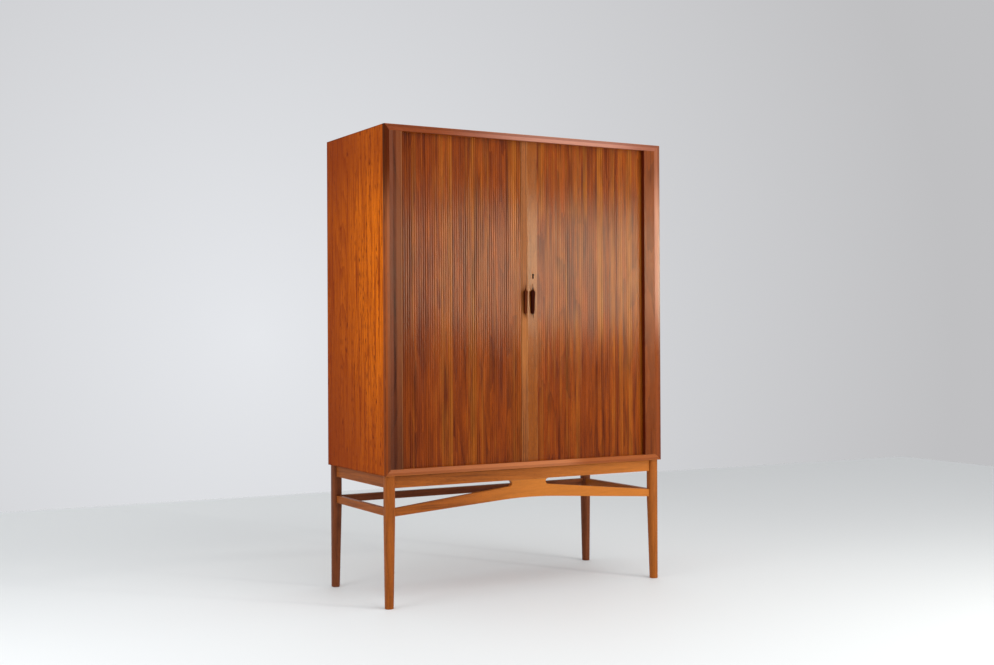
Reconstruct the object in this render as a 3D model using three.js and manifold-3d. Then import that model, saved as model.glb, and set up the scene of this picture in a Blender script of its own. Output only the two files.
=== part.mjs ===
// Tambour door cabinet: a mitred case on a leg frame, closed by two slatted curtains that slide apart
// and run round the front corners into pockets behind false sides.
// Millimetres, +Z up, the front faces -Y, and the origin is on the floor under the middle of the case.

import * as THREE from 'three';
import { mergeVertices } from 'three/addons/utils/BufferGeometryUtils.js';
import Module from 'manifold-3d';

const wasm = await Module();
wasm.setup();

// Case
const caseWidth = 1100;
const caseDepth = 480;
const overallHeight = 1572;
const caseBottom = 431;
const panelThickness = 20;
const frontEdgeFlat = 9;
const frontBevelDepth = 4;
const backPanelThickness = 8;
const backRebateDepth = 9;
const backRebateWidth = 10;
const backPanelPlay = 0.5;
const postWidth = 45;
const postThickness = 15;
const postSetback = 4.5;

// Curtains and their track
const curtainSetback = 22;
const slatThickness = 6.2;
const canvasThickness = 0.8;
const slatPitch = 8.4;
const slatSlit = 0.3;
const slatEdgeChamfer = 0.7;
const trackRadius = 39.5;
const trackSideWall = 3;
const trackBackWall = 5;
const trackBackRun = 60;
const grooveDepth = 8;
const grooveSidePlay = 1;
const curtainTopPlay = 2.5;
const tailSlatCount = 3;
const bendSegments = 4;

// Leading stiles
const rightStileWidth = 38;
const leftStileWidth = 25;
const stileThickness = 14;
const stileProud = 1.5;
const stileEndPlay = 1;
const meetingGap = 0.6;
const canvasTongue = 10;

// Pulls
const pullOffset = 13;
const pullBottom = 942;
const pullHeight = 122;
const pullWidth = 18;
const pullReach = 15;
const pullDowelRadius = 3;
const pullDowelDepth = 6;
const pullDowelShares = [0.28, 0.68];
// height, width, rear and front along the pull, from its lower tip to its upper tip
const pullStationShares = [
  [0, 0.07, 0.58, 0.7],
  [0.07, 0.13, 0.5, 0.72],
  [0.13, 0.2, 0.36, 0.76],
  [0.15, 0.3, 0.2, 0.8],
  [0.158, 0.7, 0, 0.86],
  [0.3, 0.78, 0, 0.93],
  [0.5, 0.88, 0, 0.98],
  [0.7, 0.98, 0, 1],
  [0.76, 1, 0, 0.99],
  [0.79, 0.72, 0.04, 0.94],
  [0.806, 0.34, 0.2, 0.86],
  [0.86, 0.17, 0.42, 0.74],
  [1, 0.07, 0.58, 0.7],
];
// half width and reach round the pull's section, from its low inner edge to its steep outer edge
const pullSectionShares = [
  [-1, 0],
  [-1, 0.24],
  [-0.45, 0.46],
  [0.1, 0.8],
  [0.42, 1],
  [0.78, 0.97],
  [1, 0.64],
  [1, 0],
];

// Lock
const lockHeight = 1093;
const keyholeOffset = 22;
const keyholeRadius = 3.4;
const keyholeSlotWidth = 3.8;
const keyholeSlotDrop = 12.5;
const lockCaseLength = 24;
const lockCaseTall = 48;
const lockCaseThickness = 9;
const lockWall = 1.5;
const lockPlateThickness = 2;
const lockPlateTall = 60;
const boltThickness = 5;
const boltTall = 12;
const boltLength = 20;
const boltThrow = 8;
const boltNotchLength = 5;
const boltNotchDepth = 4;
const boltChannelEnd = 4;
const lockClearance = 0.3;

// Interior
const pocketWidth = 22;
const innerSideThickness = 12;
const innerBackThickness = 6;
const innerBackInset = 38;
const innerSideFrontInset = 50;
const dividerThickness = 16;
const dividerFrontInset = 40;
const housingDepth = 5;
const shelfCount = 2;
const shelfThickness = 16;
const shelfFrontInset = 44;
const shelfPlay = 0.5;
const pinRadius = 3;
const pinSeatDepth = 7;
const pinReach = 8;
const pinInset = 46;
const pinHolePitch = 40;
const pinHoleSteps = [-1, 0, 1];
const pinSides = 8;

// Base
const baseSetback = 2.5;
const legInsetSide = 6;
const legInsetDepth = 3.5;
const legSize = 34;
const legCornerRadius = 11;
const legTaperStart = 290;
const footSize = 28;
const footCornerRadius = 12;
const footChamfer = 1.5;
const legCornerSteps = 4;
const railThickness = 16;
const railSetback = 11;
const apronHeight = 41;
const stretcherBottom = 298;
const stretcherHeight = 25;
const archBottomAtLeg = 298;
const archHeightAtLeg = 26;
const archCrownRise = 34.8;
const archCrownReach = 110;
const archBlockHalf = 67.5;
const archSlotRadius = 10.3;
const archArcSegments = 6;
const tenonThickness = 7;
const tenonShoulder = 5;
const mortiseWall = 1;

// Screws between base and case
const screwOffset = 120;
const screwShankRadius = 2.2;
const screwHeadRadius = 4.4;
const screwHeadHeight = 2.4;
const screwHeadRim = 0.8;
const screwTipLength = 3;
const screwGrip = 10;
const counterboreDepth = 18;
const counterboreRadius = 5.4;
const screwSides = 10;

// Clearances
const jointGap = 0.3;
const cutOverrun = 10;

// Places that several pieces share
const halfWidth = caseWidth / 2;
const halfDepth = caseDepth / 2;
const innerX = halfWidth - panelThickness;
const innerFloor = caseBottom + panelThickness;
const innerCeiling = overallHeight - panelThickness;
const mitreGap = jointGap / Math.SQRT2;
const curtainThickness = slatThickness + canvasThickness;
const curtainFront = -halfDepth + curtainSetback;
const curtainBack = curtainFront + curtainThickness;
const bendX = innerX - trackSideWall - curtainThickness / 2 - trackRadius;
const frontBendY = curtainFront + curtainThickness / 2 + trackRadius;
const grooveHalf = curtainThickness / 2 + grooveSidePlay;
const backBendY = halfDepth - backRebateDepth - trackBackWall - grooveHalf - trackRadius;
const curtainBottom = innerFloor - grooveDepth + jointGap;
const curtainTop = innerCeiling + grooveDepth - curtainTopPlay;
const canvasRadius = trackRadius - curtainThickness / 2 + canvasThickness;
const stileFront = curtainFront - stileProud;
const stileBack = stileFront + stileThickness;
const innerSideOuter = innerX - pocketWidth;
const innerSideInner = innerSideOuter - innerSideThickness;
const innerBackRear = halfDepth - innerBackInset;
const innerBackFront = innerBackRear - innerBackThickness;
const innerSideFront = -halfDepth + innerSideFrontInset;
const dividerHalf = dividerThickness / 2;
const dividerFront = -halfDepth + dividerFrontInset;
const dividerBack = innerBackFront - jointGap;
const shelfFront = -halfDepth + shelfFrontInset;
const shelfBack = dividerBack - shelfPlay;
const apronBottom = caseBottom - apronHeight;
const legTop = caseBottom - jointGap;
const legOuterX = halfWidth - legInsetSide;
const legOuterY = halfDepth - legInsetDepth;
const legInnerX = legOuterX - legSize;
const legInnerY = legOuterY - legSize;
const railInset = railSetback + railThickness / 2;
const railX = legOuterX - railInset;
const railY = legOuterY - railInset;
const tenonLength = legSize - railInset - tenonThickness / 2 - 2 * jointGap - mortiseWall;

// Finishes
const finishes = {
  caseTeak: finish(0xb4622a, 0.5, 0),
  slatTeak: finish(0x7c3d20, 0.5, 0),
  stileTeak: finish(0xb07c48, 0.5, 0),
  postTeak: finish(0x5c2d17, 0.55, 0),
  baseTeak: finish(0xa85e24, 0.5, 0),
  pullWood: finish(0x2e120a, 0.4, 0),
  innerWood: finish(0x9c6a3c, 0.6, 0),
  backBoard: finish(0x8a5c36, 0.7, 0),
  brass: finish(0xb08d4a, 0.35, 1),
  steel: finish(0x8c8f92, 0.35, 1),
};

function finish(colour, roughness, metalness) {
  return new THREE.MeshStandardMaterial({ color: colour, roughness, metalness });
}

// Solids

function solidOf(geometry) {
  geometry.deleteAttribute('normal');
  geometry.deleteAttribute('uv');
  const merged = mergeVertices(geometry);
  const index = merged.index.array;
  const triangles = [];
  for (let i = 0; i < index.length; i += 3) {
    const [a, b, c] = index.slice(i, i + 3);
    if (a !== b && b !== c && c !== a) {
      triangles.push(a, b, c);
    }
  }
  const mesh = new wasm.Mesh({
    numProp: 3,
    vertProperties: merged.attributes.position.array,
    triVerts: new Uint32Array(triangles),
  });
  return new wasm.Manifold(mesh);
}

function geometryOf(solid) {
  const mesh = solid.getMesh();
  const geometry = new THREE.BufferGeometry();
  geometry.setAttribute('position', new THREE.BufferAttribute(mesh.vertProperties, 3));
  geometry.setIndex(new THREE.BufferAttribute(mesh.triVerts, 1));
  geometry.computeVertexNormals();
  return geometry;
}

function piece(name, solid, material) {
  const mesh = new THREE.Mesh(geometryOf(solid), material);
  mesh.name = name;
  return mesh;
}

function block(rangeX, rangeY, rangeZ) {
  const low = [rangeX, rangeY, rangeZ].map((range) => Math.min(...range));
  const high = [rangeX, rangeY, rangeZ].map((range) => Math.max(...range));
  const geometry = new THREE.BoxGeometry(high[0] - low[0], high[1] - low[1], high[2] - low[2]);
  geometry.translate((low[0] + high[0]) / 2, (low[1] + high[1]) / 2, (low[2] + high[2]) / 2);
  return solidOf(geometry);
}

function shapeOf(points) {
  return new THREE.Shape(points.map(([x, y]) => new THREE.Vector2(x, y)));
}

// A shape drawn in the other two axes and extruded along the named one
function prism(axis, shape, from, to, curveSegments = 1) {
  const options = { depth: to - from, bevelEnabled: false, curveSegments };
  const geometry = new THREE.ExtrudeGeometry(shape, options);
  const xAxis = new THREE.Vector3(1, 0, 0);
  const yAxis = new THREE.Vector3(0, 1, 0);
  const zAxis = new THREE.Vector3(0, 0, 1);
  if (axis === 'x') {
    geometry.applyMatrix4(new THREE.Matrix4().makeBasis(yAxis, zAxis, xAxis));
    geometry.translate(from, 0, 0);
  } else if (axis === 'y') {
    geometry.applyMatrix4(new THREE.Matrix4().makeBasis(xAxis, zAxis, yAxis.negate()));
    geometry.translate(0, to, 0);
  } else {
    geometry.translate(0, 0, from);
  }
  return solidOf(geometry);
}

// A rod of even sides whose flats lie at the radius, centred on the two values across its axis
function rod(axis, across, from, to, radius, sides) {
  const corner = radius / Math.cos(Math.PI / sides);
  const geometry = new THREE.CylinderGeometry(corner, corner, Math.abs(to - from), sides);
  geometry.rotateY(Math.PI / sides);
  const middle = (from + to) / 2;
  if (axis === 'x') {
    geometry.rotateZ(Math.PI / 2);
    geometry.translate(middle, across[0], across[1]);
  } else if (axis === 'y') {
    geometry.translate(across[0], middle, across[1]);
  } else {
    geometry.rotateX(Math.PI / 2);
    geometry.translate(across[0], across[1], middle);
  }
  return solidOf(geometry);
}

// A solid through level rings of as many points each, from the lowest to the highest
function loft(rings) {
  const count = rings[0].length;
  const turned = THREE.ShapeUtils.isClockWise(rings[0]);
  const ordered = rings.map((ring) => (turned ? [...ring].reverse() : ring));
  const positions = ordered.flat().flatMap((point) => [point.x, point.y, point.z]);
  const index = [];
  const top = (rings.length - 1) * count;
  for (let level = 0; level < top; level += count) {
    for (let i = 0; i < count; i += 1) {
      const here = level + i;
      const next = level + ((i + 1) % count);
      index.push(here, next, next + count);
      index.push(here, next + count, here + count);
    }
  }
  for (let i = 1; i < count - 1; i += 1) {
    index.push(0, i + 1, i);
    index.push(top, top + i, top + i + 1);
  }
  const geometry = new THREE.BufferGeometry();
  geometry.setAttribute('position', new THREE.Float32BufferAttribute(positions, 3));
  geometry.setIndex(index);
  return solidOf(geometry);
}

function cutAll(solid, cutters) {
  return cutters.reduce((rest, cutter) => rest.subtract(cutter), solid);
}

function joinAll(solids) {
  return solids.reduce((whole, solid) => whole.add(solid));
}

// Case panels

function sidePanel(side) {
  const rebateFront = halfDepth - backRebateDepth;
  const section = shapeOf([
    [side * halfWidth, -halfDepth],
    [side * (halfWidth - frontEdgeFlat), -halfDepth],
    [side * innerX, -halfDepth + frontBevelDepth],
    [side * innerX, rebateFront],
    [side * (innerX + backRebateWidth), rebateFront],
    [side * (innerX + backRebateWidth), halfDepth],
    [side * halfWidth, halfDepth],
  ]);
  const mitred = shapeOf([
    [side * halfWidth, caseBottom + mitreGap],
    [side * innerX, innerFloor + mitreGap],
    [side * innerX, innerCeiling - mitreGap],
    [side * halfWidth, overallHeight - mitreGap],
  ]);
  const board = prism('z', section, caseBottom, overallHeight);
  return board.intersect(prism('y', mitred, -halfDepth, halfDepth));
}

// The top panel for up = 1 and the bottom panel for up = -1, before their grooves
function levelPanel(up) {
  const outer = up > 0 ? overallHeight : caseBottom;
  const inner = outer - up * panelThickness;
  const rebateFront = halfDepth - backRebateDepth;
  const section = shapeOf([
    [-halfDepth, outer],
    [-halfDepth, outer - up * frontEdgeFlat],
    [-halfDepth + frontBevelDepth, inner],
    [rebateFront, inner],
    [rebateFront, inner + up * backRebateWidth],
    [halfDepth, inner + up * backRebateWidth],
    [halfDepth, outer],
  ]);
  const mitred = shapeOf([
    [-halfWidth + mitreGap, outer],
    [-innerX + mitreGap, inner],
    [innerX - mitreGap, inner],
    [halfWidth - mitreGap, outer],
  ]);
  const board = prism('x', section, -halfWidth, halfWidth);
  return board.intersect(prism('y', mitred, -halfDepth, halfDepth));
}

// The track in plan: along the front, round all four corners and a little way along the back
function trackShape() {
  const outer = trackRadius + grooveHalf;
  const inner = trackRadius - grooveHalf;
  const runEnd = bendX - trackBackRun;
  const quarter = Math.PI / 2;
  const shape = new THREE.Shape();
  shape.moveTo(-runEnd, backBendY + outer);
  shape.absarc(-bendX, backBendY, outer, quarter, 2 * quarter, false);
  shape.absarc(-bendX, frontBendY, outer, 2 * quarter, 3 * quarter, false);
  shape.absarc(bendX, frontBendY, outer, -quarter, 0, false);
  shape.absarc(bendX, backBendY, outer, 0, quarter, false);
  shape.lineTo(runEnd, backBendY + outer);
  shape.lineTo(runEnd, backBendY + inner);
  shape.absarc(bendX, backBendY, inner, quarter, 0, true);
  shape.absarc(bendX, frontBendY, inner, 0, -quarter, true);
  shape.absarc(-bendX, frontBendY, inner, -quarter, -2 * quarter, true);
  shape.absarc(-bendX, backBendY, inner, 2 * quarter, quarter, true);
  shape.lineTo(-runEnd, backBendY + inner);
  return shape;
}

function housingCuts(low, high) {
  const sides = [-1, 1].map((side) => block(
    [side * (innerSideInner - jointGap), side * (innerSideOuter + jointGap)],
    [innerSideFront - jointGap, innerBackRear + jointGap],
    [low, high],
  ));
  const middle = block(
    [-dividerHalf - jointGap, dividerHalf + jointGap],
    [dividerFront - jointGap, dividerBack + jointGap],
    [low, high],
  );
  return [...sides, middle];
}

function topPanel() {
  const from = innerCeiling - cutOverrun;
  const groove = prism('z', trackShape(), from, innerCeiling + grooveDepth, bendSegments);
  const housings = housingCuts(from, innerCeiling + housingDepth);
  return cutAll(levelPanel(1), [groove, ...housings]);
}

function bottomPanel() {
  const groove = prism('z', trackShape(), innerFloor - grooveDepth, innerFloor + cutOverrun, bendSegments);
  const housings = housingCuts(innerFloor - housingDepth, innerFloor + cutOverrun);
  const screwHoles = screwPlaces().map(([x, y]) => {
    const radius = screwShankRadius + jointGap;
    const end = caseBottom + screwGrip + jointGap;
    return rod('z', [x, y + baseSetback], caseBottom - cutOverrun, end, radius, screwSides);
  });
  return cutAll(levelPanel(-1), [groove, ...housings, ...screwHoles]);
}

function backPanel() {
  const reachX = innerX + backRebateWidth - backPanelPlay;
  const front = halfDepth - backRebateDepth + jointGap;
  const low = innerFloor - backRebateWidth + backPanelPlay;
  const high = innerCeiling + backRebateWidth - backPanelPlay;
  return block([-reachX, reachX], [front, front + backPanelThickness], [low, high]);
}

function post(side) {
  const front = -halfDepth + postSetback;
  return block(
    [side * (innerX - postWidth), side * (innerX - jointGap)],
    [front, front + postThickness],
    [innerFloor + jointGap, innerCeiling - jointGap],
  );
}

// Curtains

// A point on the canvas's front face, at a distance from the middle of the front, and the same
// point on its back face
function canvasPoint(side, distance) {
  const bendLength = canvasRadius * (Math.PI / 2);
  const alongBend = Math.min(Math.max(distance - bendX, 0), bendLength);
  const turn = alongBend / canvasRadius;
  const beyond = Math.max(distance - bendX - bendLength, 0);
  const straight = Math.min(distance, bendX);
  const at = (radius) => new THREE.Vector2(
    side * (straight + radius * Math.sin(turn)),
    frontBendY - radius * Math.cos(turn) + beyond,
  );
  return { front: at(canvasRadius), back: at(canvasRadius - canvasThickness) };
}

// One slat on the stretch of canvas between two points: its outline outwards and back again
function slatOutline(from, to, side) {
  const along = to.clone().sub(from).normalize();
  const out = new THREE.Vector2(along.y, -along.x).multiplyScalar(side);
  const length = from.distanceTo(to);
  const half = slatSlit / 2;
  const corner = (distance, height) => {
    const point = from.clone().addScaledVector(along, distance);
    return point.addScaledVector(out, height);
  };
  return [
    corner(half, 0),
    corner(half, slatThickness - slatEdgeChamfer),
    corner(half + slatEdgeChamfer, slatThickness),
    corner(length - half - slatEdgeChamfer, slatThickness),
    corner(length - half, slatThickness - slatEdgeChamfer),
    corner(length - half, 0),
  ];
}

// Slats side by side on their canvas, with one slat between each two distances along the track
function slattedStrip(side, distances) {
  const stations = distances.map((distance) => canvasPoint(side, distance));
  const outline = [];
  for (let i = 0; i < stations.length - 1; i += 1) {
    outline.push(...slatOutline(stations[i].front, stations[i + 1].front, side));
  }
  const canvasBack = stations.map((station) => station.back).reverse();
  return { outline, canvasBack };
}

function evenDistances(from, to) {
  const count = Math.round((to - from) / slatPitch);
  const step = (to - from) / count;
  return Array.from({ length: count + 1 }, (_, i) => from + i * step);
}

function stileWidthOf(side) {
  return side > 0 ? rightStileWidth : leftStileWidth;
}

// The flat run behind the front opening, with the canvas tongue that the leading stile holds
function curtain(side) {
  const start = stileWidthOf(side);
  const distances = evenDistances(start + jointGap, bendX);
  const { outline, canvasBack } = slattedStrip(side, distances);
  const tongueEnd = side * (start - canvasTongue + jointGap);
  const canvasFront = curtainBack - canvasThickness;
  const shape = new THREE.Shape([
    new THREE.Vector2(tongueEnd, canvasFront),
    ...outline,
    ...canvasBack.slice(0, 1),
    new THREE.Vector2(tongueEnd, curtainBack),
  ]);
  return prism('z', shape, curtainBottom, curtainTop);
}

// The end of the curtain, which lies round the front corner when the door is shut
function curtainTail(side) {
  const bendEnd = bendX + canvasRadius * (Math.PI / 2);
  const round = evenDistances(bendX + jointGap, bendEnd);
  const beyond = Array.from({ length: tailSlatCount }, (_, i) => bendEnd + (i + 1) * slatPitch);
  const { outline, canvasBack } = slattedStrip(side, [...round, ...beyond]);
  const shape = new THREE.Shape([...outline, ...canvasBack]);
  return prism('z', shape, curtainBottom, curtainTop);
}

// Leading stiles

function stileBlank(side) {
  const width = stileWidthOf(side);
  const near = side * (meetingGap / 2);
  const far = side * width;
  const body = block(
    [near, far],
    [stileFront, stileBack],
    [innerFloor + stileEndPlay, innerCeiling - stileEndPlay],
  );
  const tongue = block([near, far], [curtainFront, curtainBack], [curtainBottom, curtainTop]);
  const canvasSlot = block(
    [side * (width - canvasTongue), side * (width + cutOverrun)],
    [curtainBack - canvasThickness - jointGap, curtainBack + jointGap],
    [curtainBottom - cutOverrun, curtainTop + cutOverrun],
  );
  const dowelHoles = pullDowelHeights().map((height) => rod(
    'y',
    [side * pullOffset, height],
    stileFront - cutOverrun,
    stileFront + pullDowelDepth + jointGap,
    pullDowelRadius + jointGap,
    pinSides,
  ));
  return cutAll(body.add(tongue), [canvasSlot, ...dowelHoles]);
}

function lockMiddleY() {
  return stileBack - lockClearance - lockCaseThickness / 2;
}

function plateCut(side) {
  const edge = side * (meetingGap / 2);
  const depth = side * (meetingGap / 2 + lockPlateThickness + lockClearance);
  const half = lockCaseThickness / 2 + lockClearance;
  const tall = lockPlateTall / 2 + lockClearance;
  return block(
    [edge - side * cutOverrun, depth],
    [lockMiddleY() - half, stileBack + cutOverrun],
    [lockHeight - tall, lockHeight + tall],
  );
}

function boltCut(side, from, to) {
  const half = boltThickness / 2 + lockClearance;
  const tall = boltTall / 2 + lockClearance;
  return block(
    [side * from, side * to],
    [lockMiddleY() - half, lockMiddleY() + half],
    [lockHeight - tall, lockHeight + tall],
  );
}

function keyholeCut(from, to) {
  const round = rod('y', [keyholeOffset, lockHeight], from, to, keyholeRadius, screwSides);
  const half = keyholeSlotWidth / 2;
  const slot = block(
    [keyholeOffset - half, keyholeOffset + half],
    [from, to],
    [lockHeight - keyholeSlotDrop, lockHeight],
  );
  return round.add(slot);
}

function lockCaseRanges(grow) {
  const start = meetingGap / 2 + lockPlateThickness + lockClearance;
  const half = lockCaseTall / 2 + grow;
  const back = stileBack - lockClearance;
  return [
    [start - grow, start + lockCaseLength + grow],
    [back - lockCaseThickness - grow, back],
    [lockHeight - half, lockHeight + half],
  ];
}

function rightStile() {
  const [rangeX, rangeY, rangeZ] = lockCaseRanges(lockClearance);
  const recess = block(rangeX, [rangeY[0], stileBack + cutOverrun], rangeZ);
  const keyhole = keyholeCut(stileFront - cutOverrun, rangeY[1]);
  return cutAll(stileBlank(1), [plateCut(1), recess, keyhole]);
}

function leftStile() {
  const pocketEnd = meetingGap / 2 + boltThrow + boltChannelEnd;
  return cutAll(stileBlank(-1), [plateCut(-1), boltCut(-1, 0, pocketEnd)]);
}

function lockPlate(side) {
  const edge = meetingGap / 2;
  const half = lockCaseThickness / 2;
  const tall = lockPlateTall / 2;
  const plate = block(
    [side * edge, side * (edge + lockPlateThickness)],
    [lockMiddleY() - half, lockMiddleY() + half],
    [lockHeight - tall, lockHeight + tall],
  );
  return plate.subtract(boltCut(side, edge - cutOverrun, edge + cutOverrun));
}

function lockCase() {
  const [rangeX, rangeY, rangeZ] = lockCaseRanges(0);
  const channel = boltCut(1, rangeX[0] - cutOverrun, rangeX[1] - lockWall);
  const keyRoom = block(
    [keyholeOffset - keyholeSlotDrop, rangeX[1] - lockWall],
    [lockMiddleY() - boltThickness / 2 - lockClearance, lockMiddleY() + boltThickness / 2 + lockClearance],
    [rangeZ[0] + lockWall, lockHeight],
  );
  const keyhole = keyholeCut(rangeY[0] - cutOverrun, lockMiddleY());
  return cutAll(block(rangeX, rangeY, rangeZ), [channel, keyRoom, keyhole]);
}

function lockBolt() {
  const start = meetingGap / 2 + lockClearance;
  const low = lockHeight - boltTall / 2;
  const half = boltThickness / 2;
  const bar = block(
    [start, start + boltLength],
    [lockMiddleY() - half, lockMiddleY() + half],
    [low, low + boltTall],
  );
  const notchMiddle = keyholeOffset - boltThrow;
  const notch = block(
    [notchMiddle - boltNotchLength / 2, notchMiddle + boltNotchLength / 2],
    [lockMiddleY() - half - cutOverrun, lockMiddleY() + half + cutOverrun],
    [low - cutOverrun, low + boltNotchDepth],
  );
  return bar.subtract(notch);
}

// Pulls

function pullDowelHeights() {
  return pullDowelShares.map((share) => pullBottom + share * pullHeight);
}

function pull(side) {
  const back = stileFront - jointGap;
  const middle = side * pullOffset;
  const rings = pullStationShares.map(([heightShare, widthShare, rearShare, frontShare]) => (
    pullSectionShares.map(([across, out]) => new THREE.Vector3(
      middle + side * across * widthShare * pullWidth / 2,
      back - (rearShare + out * (frontShare - rearShare)) * pullReach,
      pullBottom + heightShare * pullHeight,
    ))
  ));
  const dowels = pullDowelHeights().map((height) => rod(
    'y',
    [middle, height],
    back - pullReach / 3,
    stileFront + pullDowelDepth,
    pullDowelRadius,
    pinSides,
  ));
  return joinAll([loft(rings), ...dowels]);
}

// Interior

function shelfMiddle(level) {
  return innerFloor + (level + 1) * (innerCeiling - innerFloor) / (shelfCount + 1);
}

function pinHeight(level) {
  return shelfMiddle(level) - shelfThickness / 2 - jointGap - pinRadius;
}

function pinRows() {
  return [shelfFront + pinInset, shelfBack - pinInset];
}

// Rows of blind pin holes drilled along X into a face that looks towards inwards
function pinHoles(faceX, inwards) {
  const holes = [];
  for (let level = 0; level < shelfCount; level += 1) {
    for (const step of pinHoleSteps) {
      for (const y of pinRows()) {
        const z = pinHeight(level) + step * pinHolePitch;
        const from = faceX + inwards * cutOverrun;
        const to = faceX - inwards * (pinSeatDepth + jointGap);
        holes.push(rod('x', [y, z], from, to, pinRadius + jointGap, pinSides));
      }
    }
  }
  return holes;
}

function innerSide(side) {
  const rebate = innerSideInner + innerSideThickness / 2;
  const section = shapeOf([
    [side * innerSideInner, innerSideFront],
    [side * innerSideOuter, innerSideFront],
    [side * innerSideOuter, innerBackRear],
    [side * rebate, innerBackRear],
    [side * rebate, innerBackFront - jointGap],
    [side * innerSideInner, innerBackFront - jointGap],
  ]);
  const low = innerFloor - housingDepth + jointGap;
  const high = innerCeiling + housingDepth - jointGap;
  return cutAll(prism('z', section, low, high), pinHoles(side * innerSideInner, -side));
}

function innerBack() {
  const reach = innerSideInner + innerSideThickness / 2 - jointGap;
  return block(
    [-reach, reach],
    [innerBackFront, innerBackRear],
    [innerFloor + jointGap, innerCeiling - jointGap],
  );
}

function centreDivider() {
  const board = block(
    [-dividerHalf, dividerHalf],
    [dividerFront, dividerBack],
    [innerFloor - housingDepth + jointGap, innerCeiling + housingDepth - jointGap],
  );
  return cutAll(board, [...pinHoles(-dividerHalf, -1), ...pinHoles(dividerHalf, 1)]);
}

function shelf() {
  const half = (innerSideInner - dividerHalf) / 2 - shelfPlay;
  return block([-half, half], [shelfFront, shelfBack], [-shelfThickness / 2, shelfThickness / 2]);
}

// A shelf pin lying along X, with the mouth of its hole at zero and its seat on the side given
function shelfPin(seatSide) {
  return rod('x', [0, 0], seatSide * pinSeatDepth, -seatSide * pinReach, pinRadius, pinSides);
}

function placeShelves(group) {
  const middleX = (innerSideInner + dividerHalf) / 2;
  for (const side of [-1, 1]) {
    const sideName = side < 0 ? 'left' : 'right';
    for (let level = 0; level < shelfCount; level += 1) {
      const levelName = `${sideName}_shelf_${level + 1}`;
      const board = piece(levelName, shelf(), finishes.innerWood);
      board.position.set(side * middleX, 0, shelfMiddle(level));
      group.add(board);
      placePins(group, side, level, levelName);
    }
  }
}

function placePins(group, side, level, levelName) {
  const walls = [
    { name: 'outer', x: side * innerSideInner, seatSide: side },
    { name: 'middle', x: side * dividerHalf, seatSide: -side },
  ];
  for (const wall of walls) {
    for (const [row, y] of pinRows().entries()) {
      const rowName = row === 0 ? 'front' : 'back';
      const name = `${levelName}_pin_${wall.name}_${rowName}`;
      const pin = piece(name, shelfPin(wall.seatSide), finishes.brass);
      pin.position.set(wall.x, y, pinHeight(level));
      group.add(pin);
    }
  }
}

// Base

// The rails that run along X or Y, by the line of their middle and their height
const frontApronRail = { along: 'x', across: -railY, low: apronBottom, high: legTop };
const backApronRail = { along: 'x', across: railY, low: apronBottom, high: legTop };
const sideRails = [-1, 1].map((side) => (
  { along: 'y', across: side * railX, low: apronBottom, high: legTop }
));
const stretcherTop = stretcherBottom + stretcherHeight;
const archRail = {
  along: 'x', across: -railY, low: archBottomAtLeg, high: archBottomAtLeg + archHeightAtLeg,
};
const backStretcherRail = { along: 'x', across: railY, low: stretcherBottom, high: stretcherTop };
const sideStretcherRails = [-1, 1].map((side) => (
  { along: 'y', across: side * railX, low: stretcherBottom, high: stretcherTop }
));

function legInnerOf(rail) {
  return rail.along === 'x' ? legInnerX : legInnerY;
}

function railBlock(rail, ends, thickness, low, high) {
  const across = [rail.across - thickness / 2, rail.across + thickness / 2];
  return rail.along === 'x' ? block(ends, across, [low, high]) : block(across, ends, [low, high]);
}

// The tenon at one end of a rail, or its mortise when grown by the clearance
function tenon(rail, end, grow) {
  const face = legInnerOf(rail);
  const ends = [end * (face - tenonLength), end * (face + tenonLength + grow)];
  const thickness = tenonThickness + 2 * grow;
  const low = rail.low + tenonShoulder - grow;
  const high = rail.high - tenonShoulder + grow;
  return railBlock(rail, ends, thickness, low, high);
}

function straightRail(rail) {
  const reach = legInnerOf(rail) - jointGap;
  const bar = railBlock(rail, [-reach, reach], railThickness, rail.low, rail.high);
  return joinAll([bar, tenon(rail, -1, 0), tenon(rail, 1, 0)]);
}

// The side rails also take the screws that hold the case
function sideRail(side) {
  const rail = sideRails[side < 0 ? 0 : 1];
  const holes = screwPlaces().filter(([x]) => x * side > 0).flatMap(([x, y]) => [
    rod('z', [x, y], rail.low - cutOverrun, rail.high + cutOverrun, screwShankRadius + jointGap, screwSides),
    rod('z', [x, y], rail.low - cutOverrun, rail.low + counterboreDepth, counterboreRadius, screwSides),
  ]);
  return cutAll(straightRail(rail), holes);
}

// Two slots with round ends leave a solid block in the middle, which meets the front apron, and the
// lower edge rises from leg to leg in a shallow arch
function archOutline() {
  const reach = legInnerX - jointGap;
  const legHigh = archBottomAtLeg + archHeightAtLeg;
  const blockTop = apronBottom - jointGap;
  const slotX = archBlockHalf + archSlotRadius;
  const slotZ = blockTop - archSlotRadius;
  const crown = archBottomAtLeg + archCrownRise;
  const crownFoot = crown - archCrownRise * archCrownReach / reach;
  const away = new THREE.Vector2(reach - slotX, legHigh - slotZ);
  const tangent = away.angle() - Math.acos(archSlotRadius / away.length());
  const shape = new THREE.Shape();
  shape.moveTo(-reach, archBottomAtLeg);
  shape.lineTo(-archCrownReach, crownFoot);
  shape.quadraticCurveTo(0, crown, archCrownReach, crownFoot);
  shape.lineTo(reach, archBottomAtLeg);
  shape.lineTo(reach, legHigh);
  shape.absarc(slotX, slotZ, archSlotRadius, tangent, Math.PI / 2, true);
  shape.lineTo(-slotX, blockTop);
  shape.absarc(-slotX, slotZ, archSlotRadius, Math.PI / 2, Math.PI - tangent, true);
  shape.lineTo(-reach, legHigh);
  return shape;
}

function archStretcher() {
  const half = railThickness / 2;
  const from = archRail.across - half;
  const body = prism('y', archOutline(), from, from + railThickness, archArcSegments);
  return joinAll([body, tenon(archRail, -1, 0), tenon(archRail, 1, 0)]);
}

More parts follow.
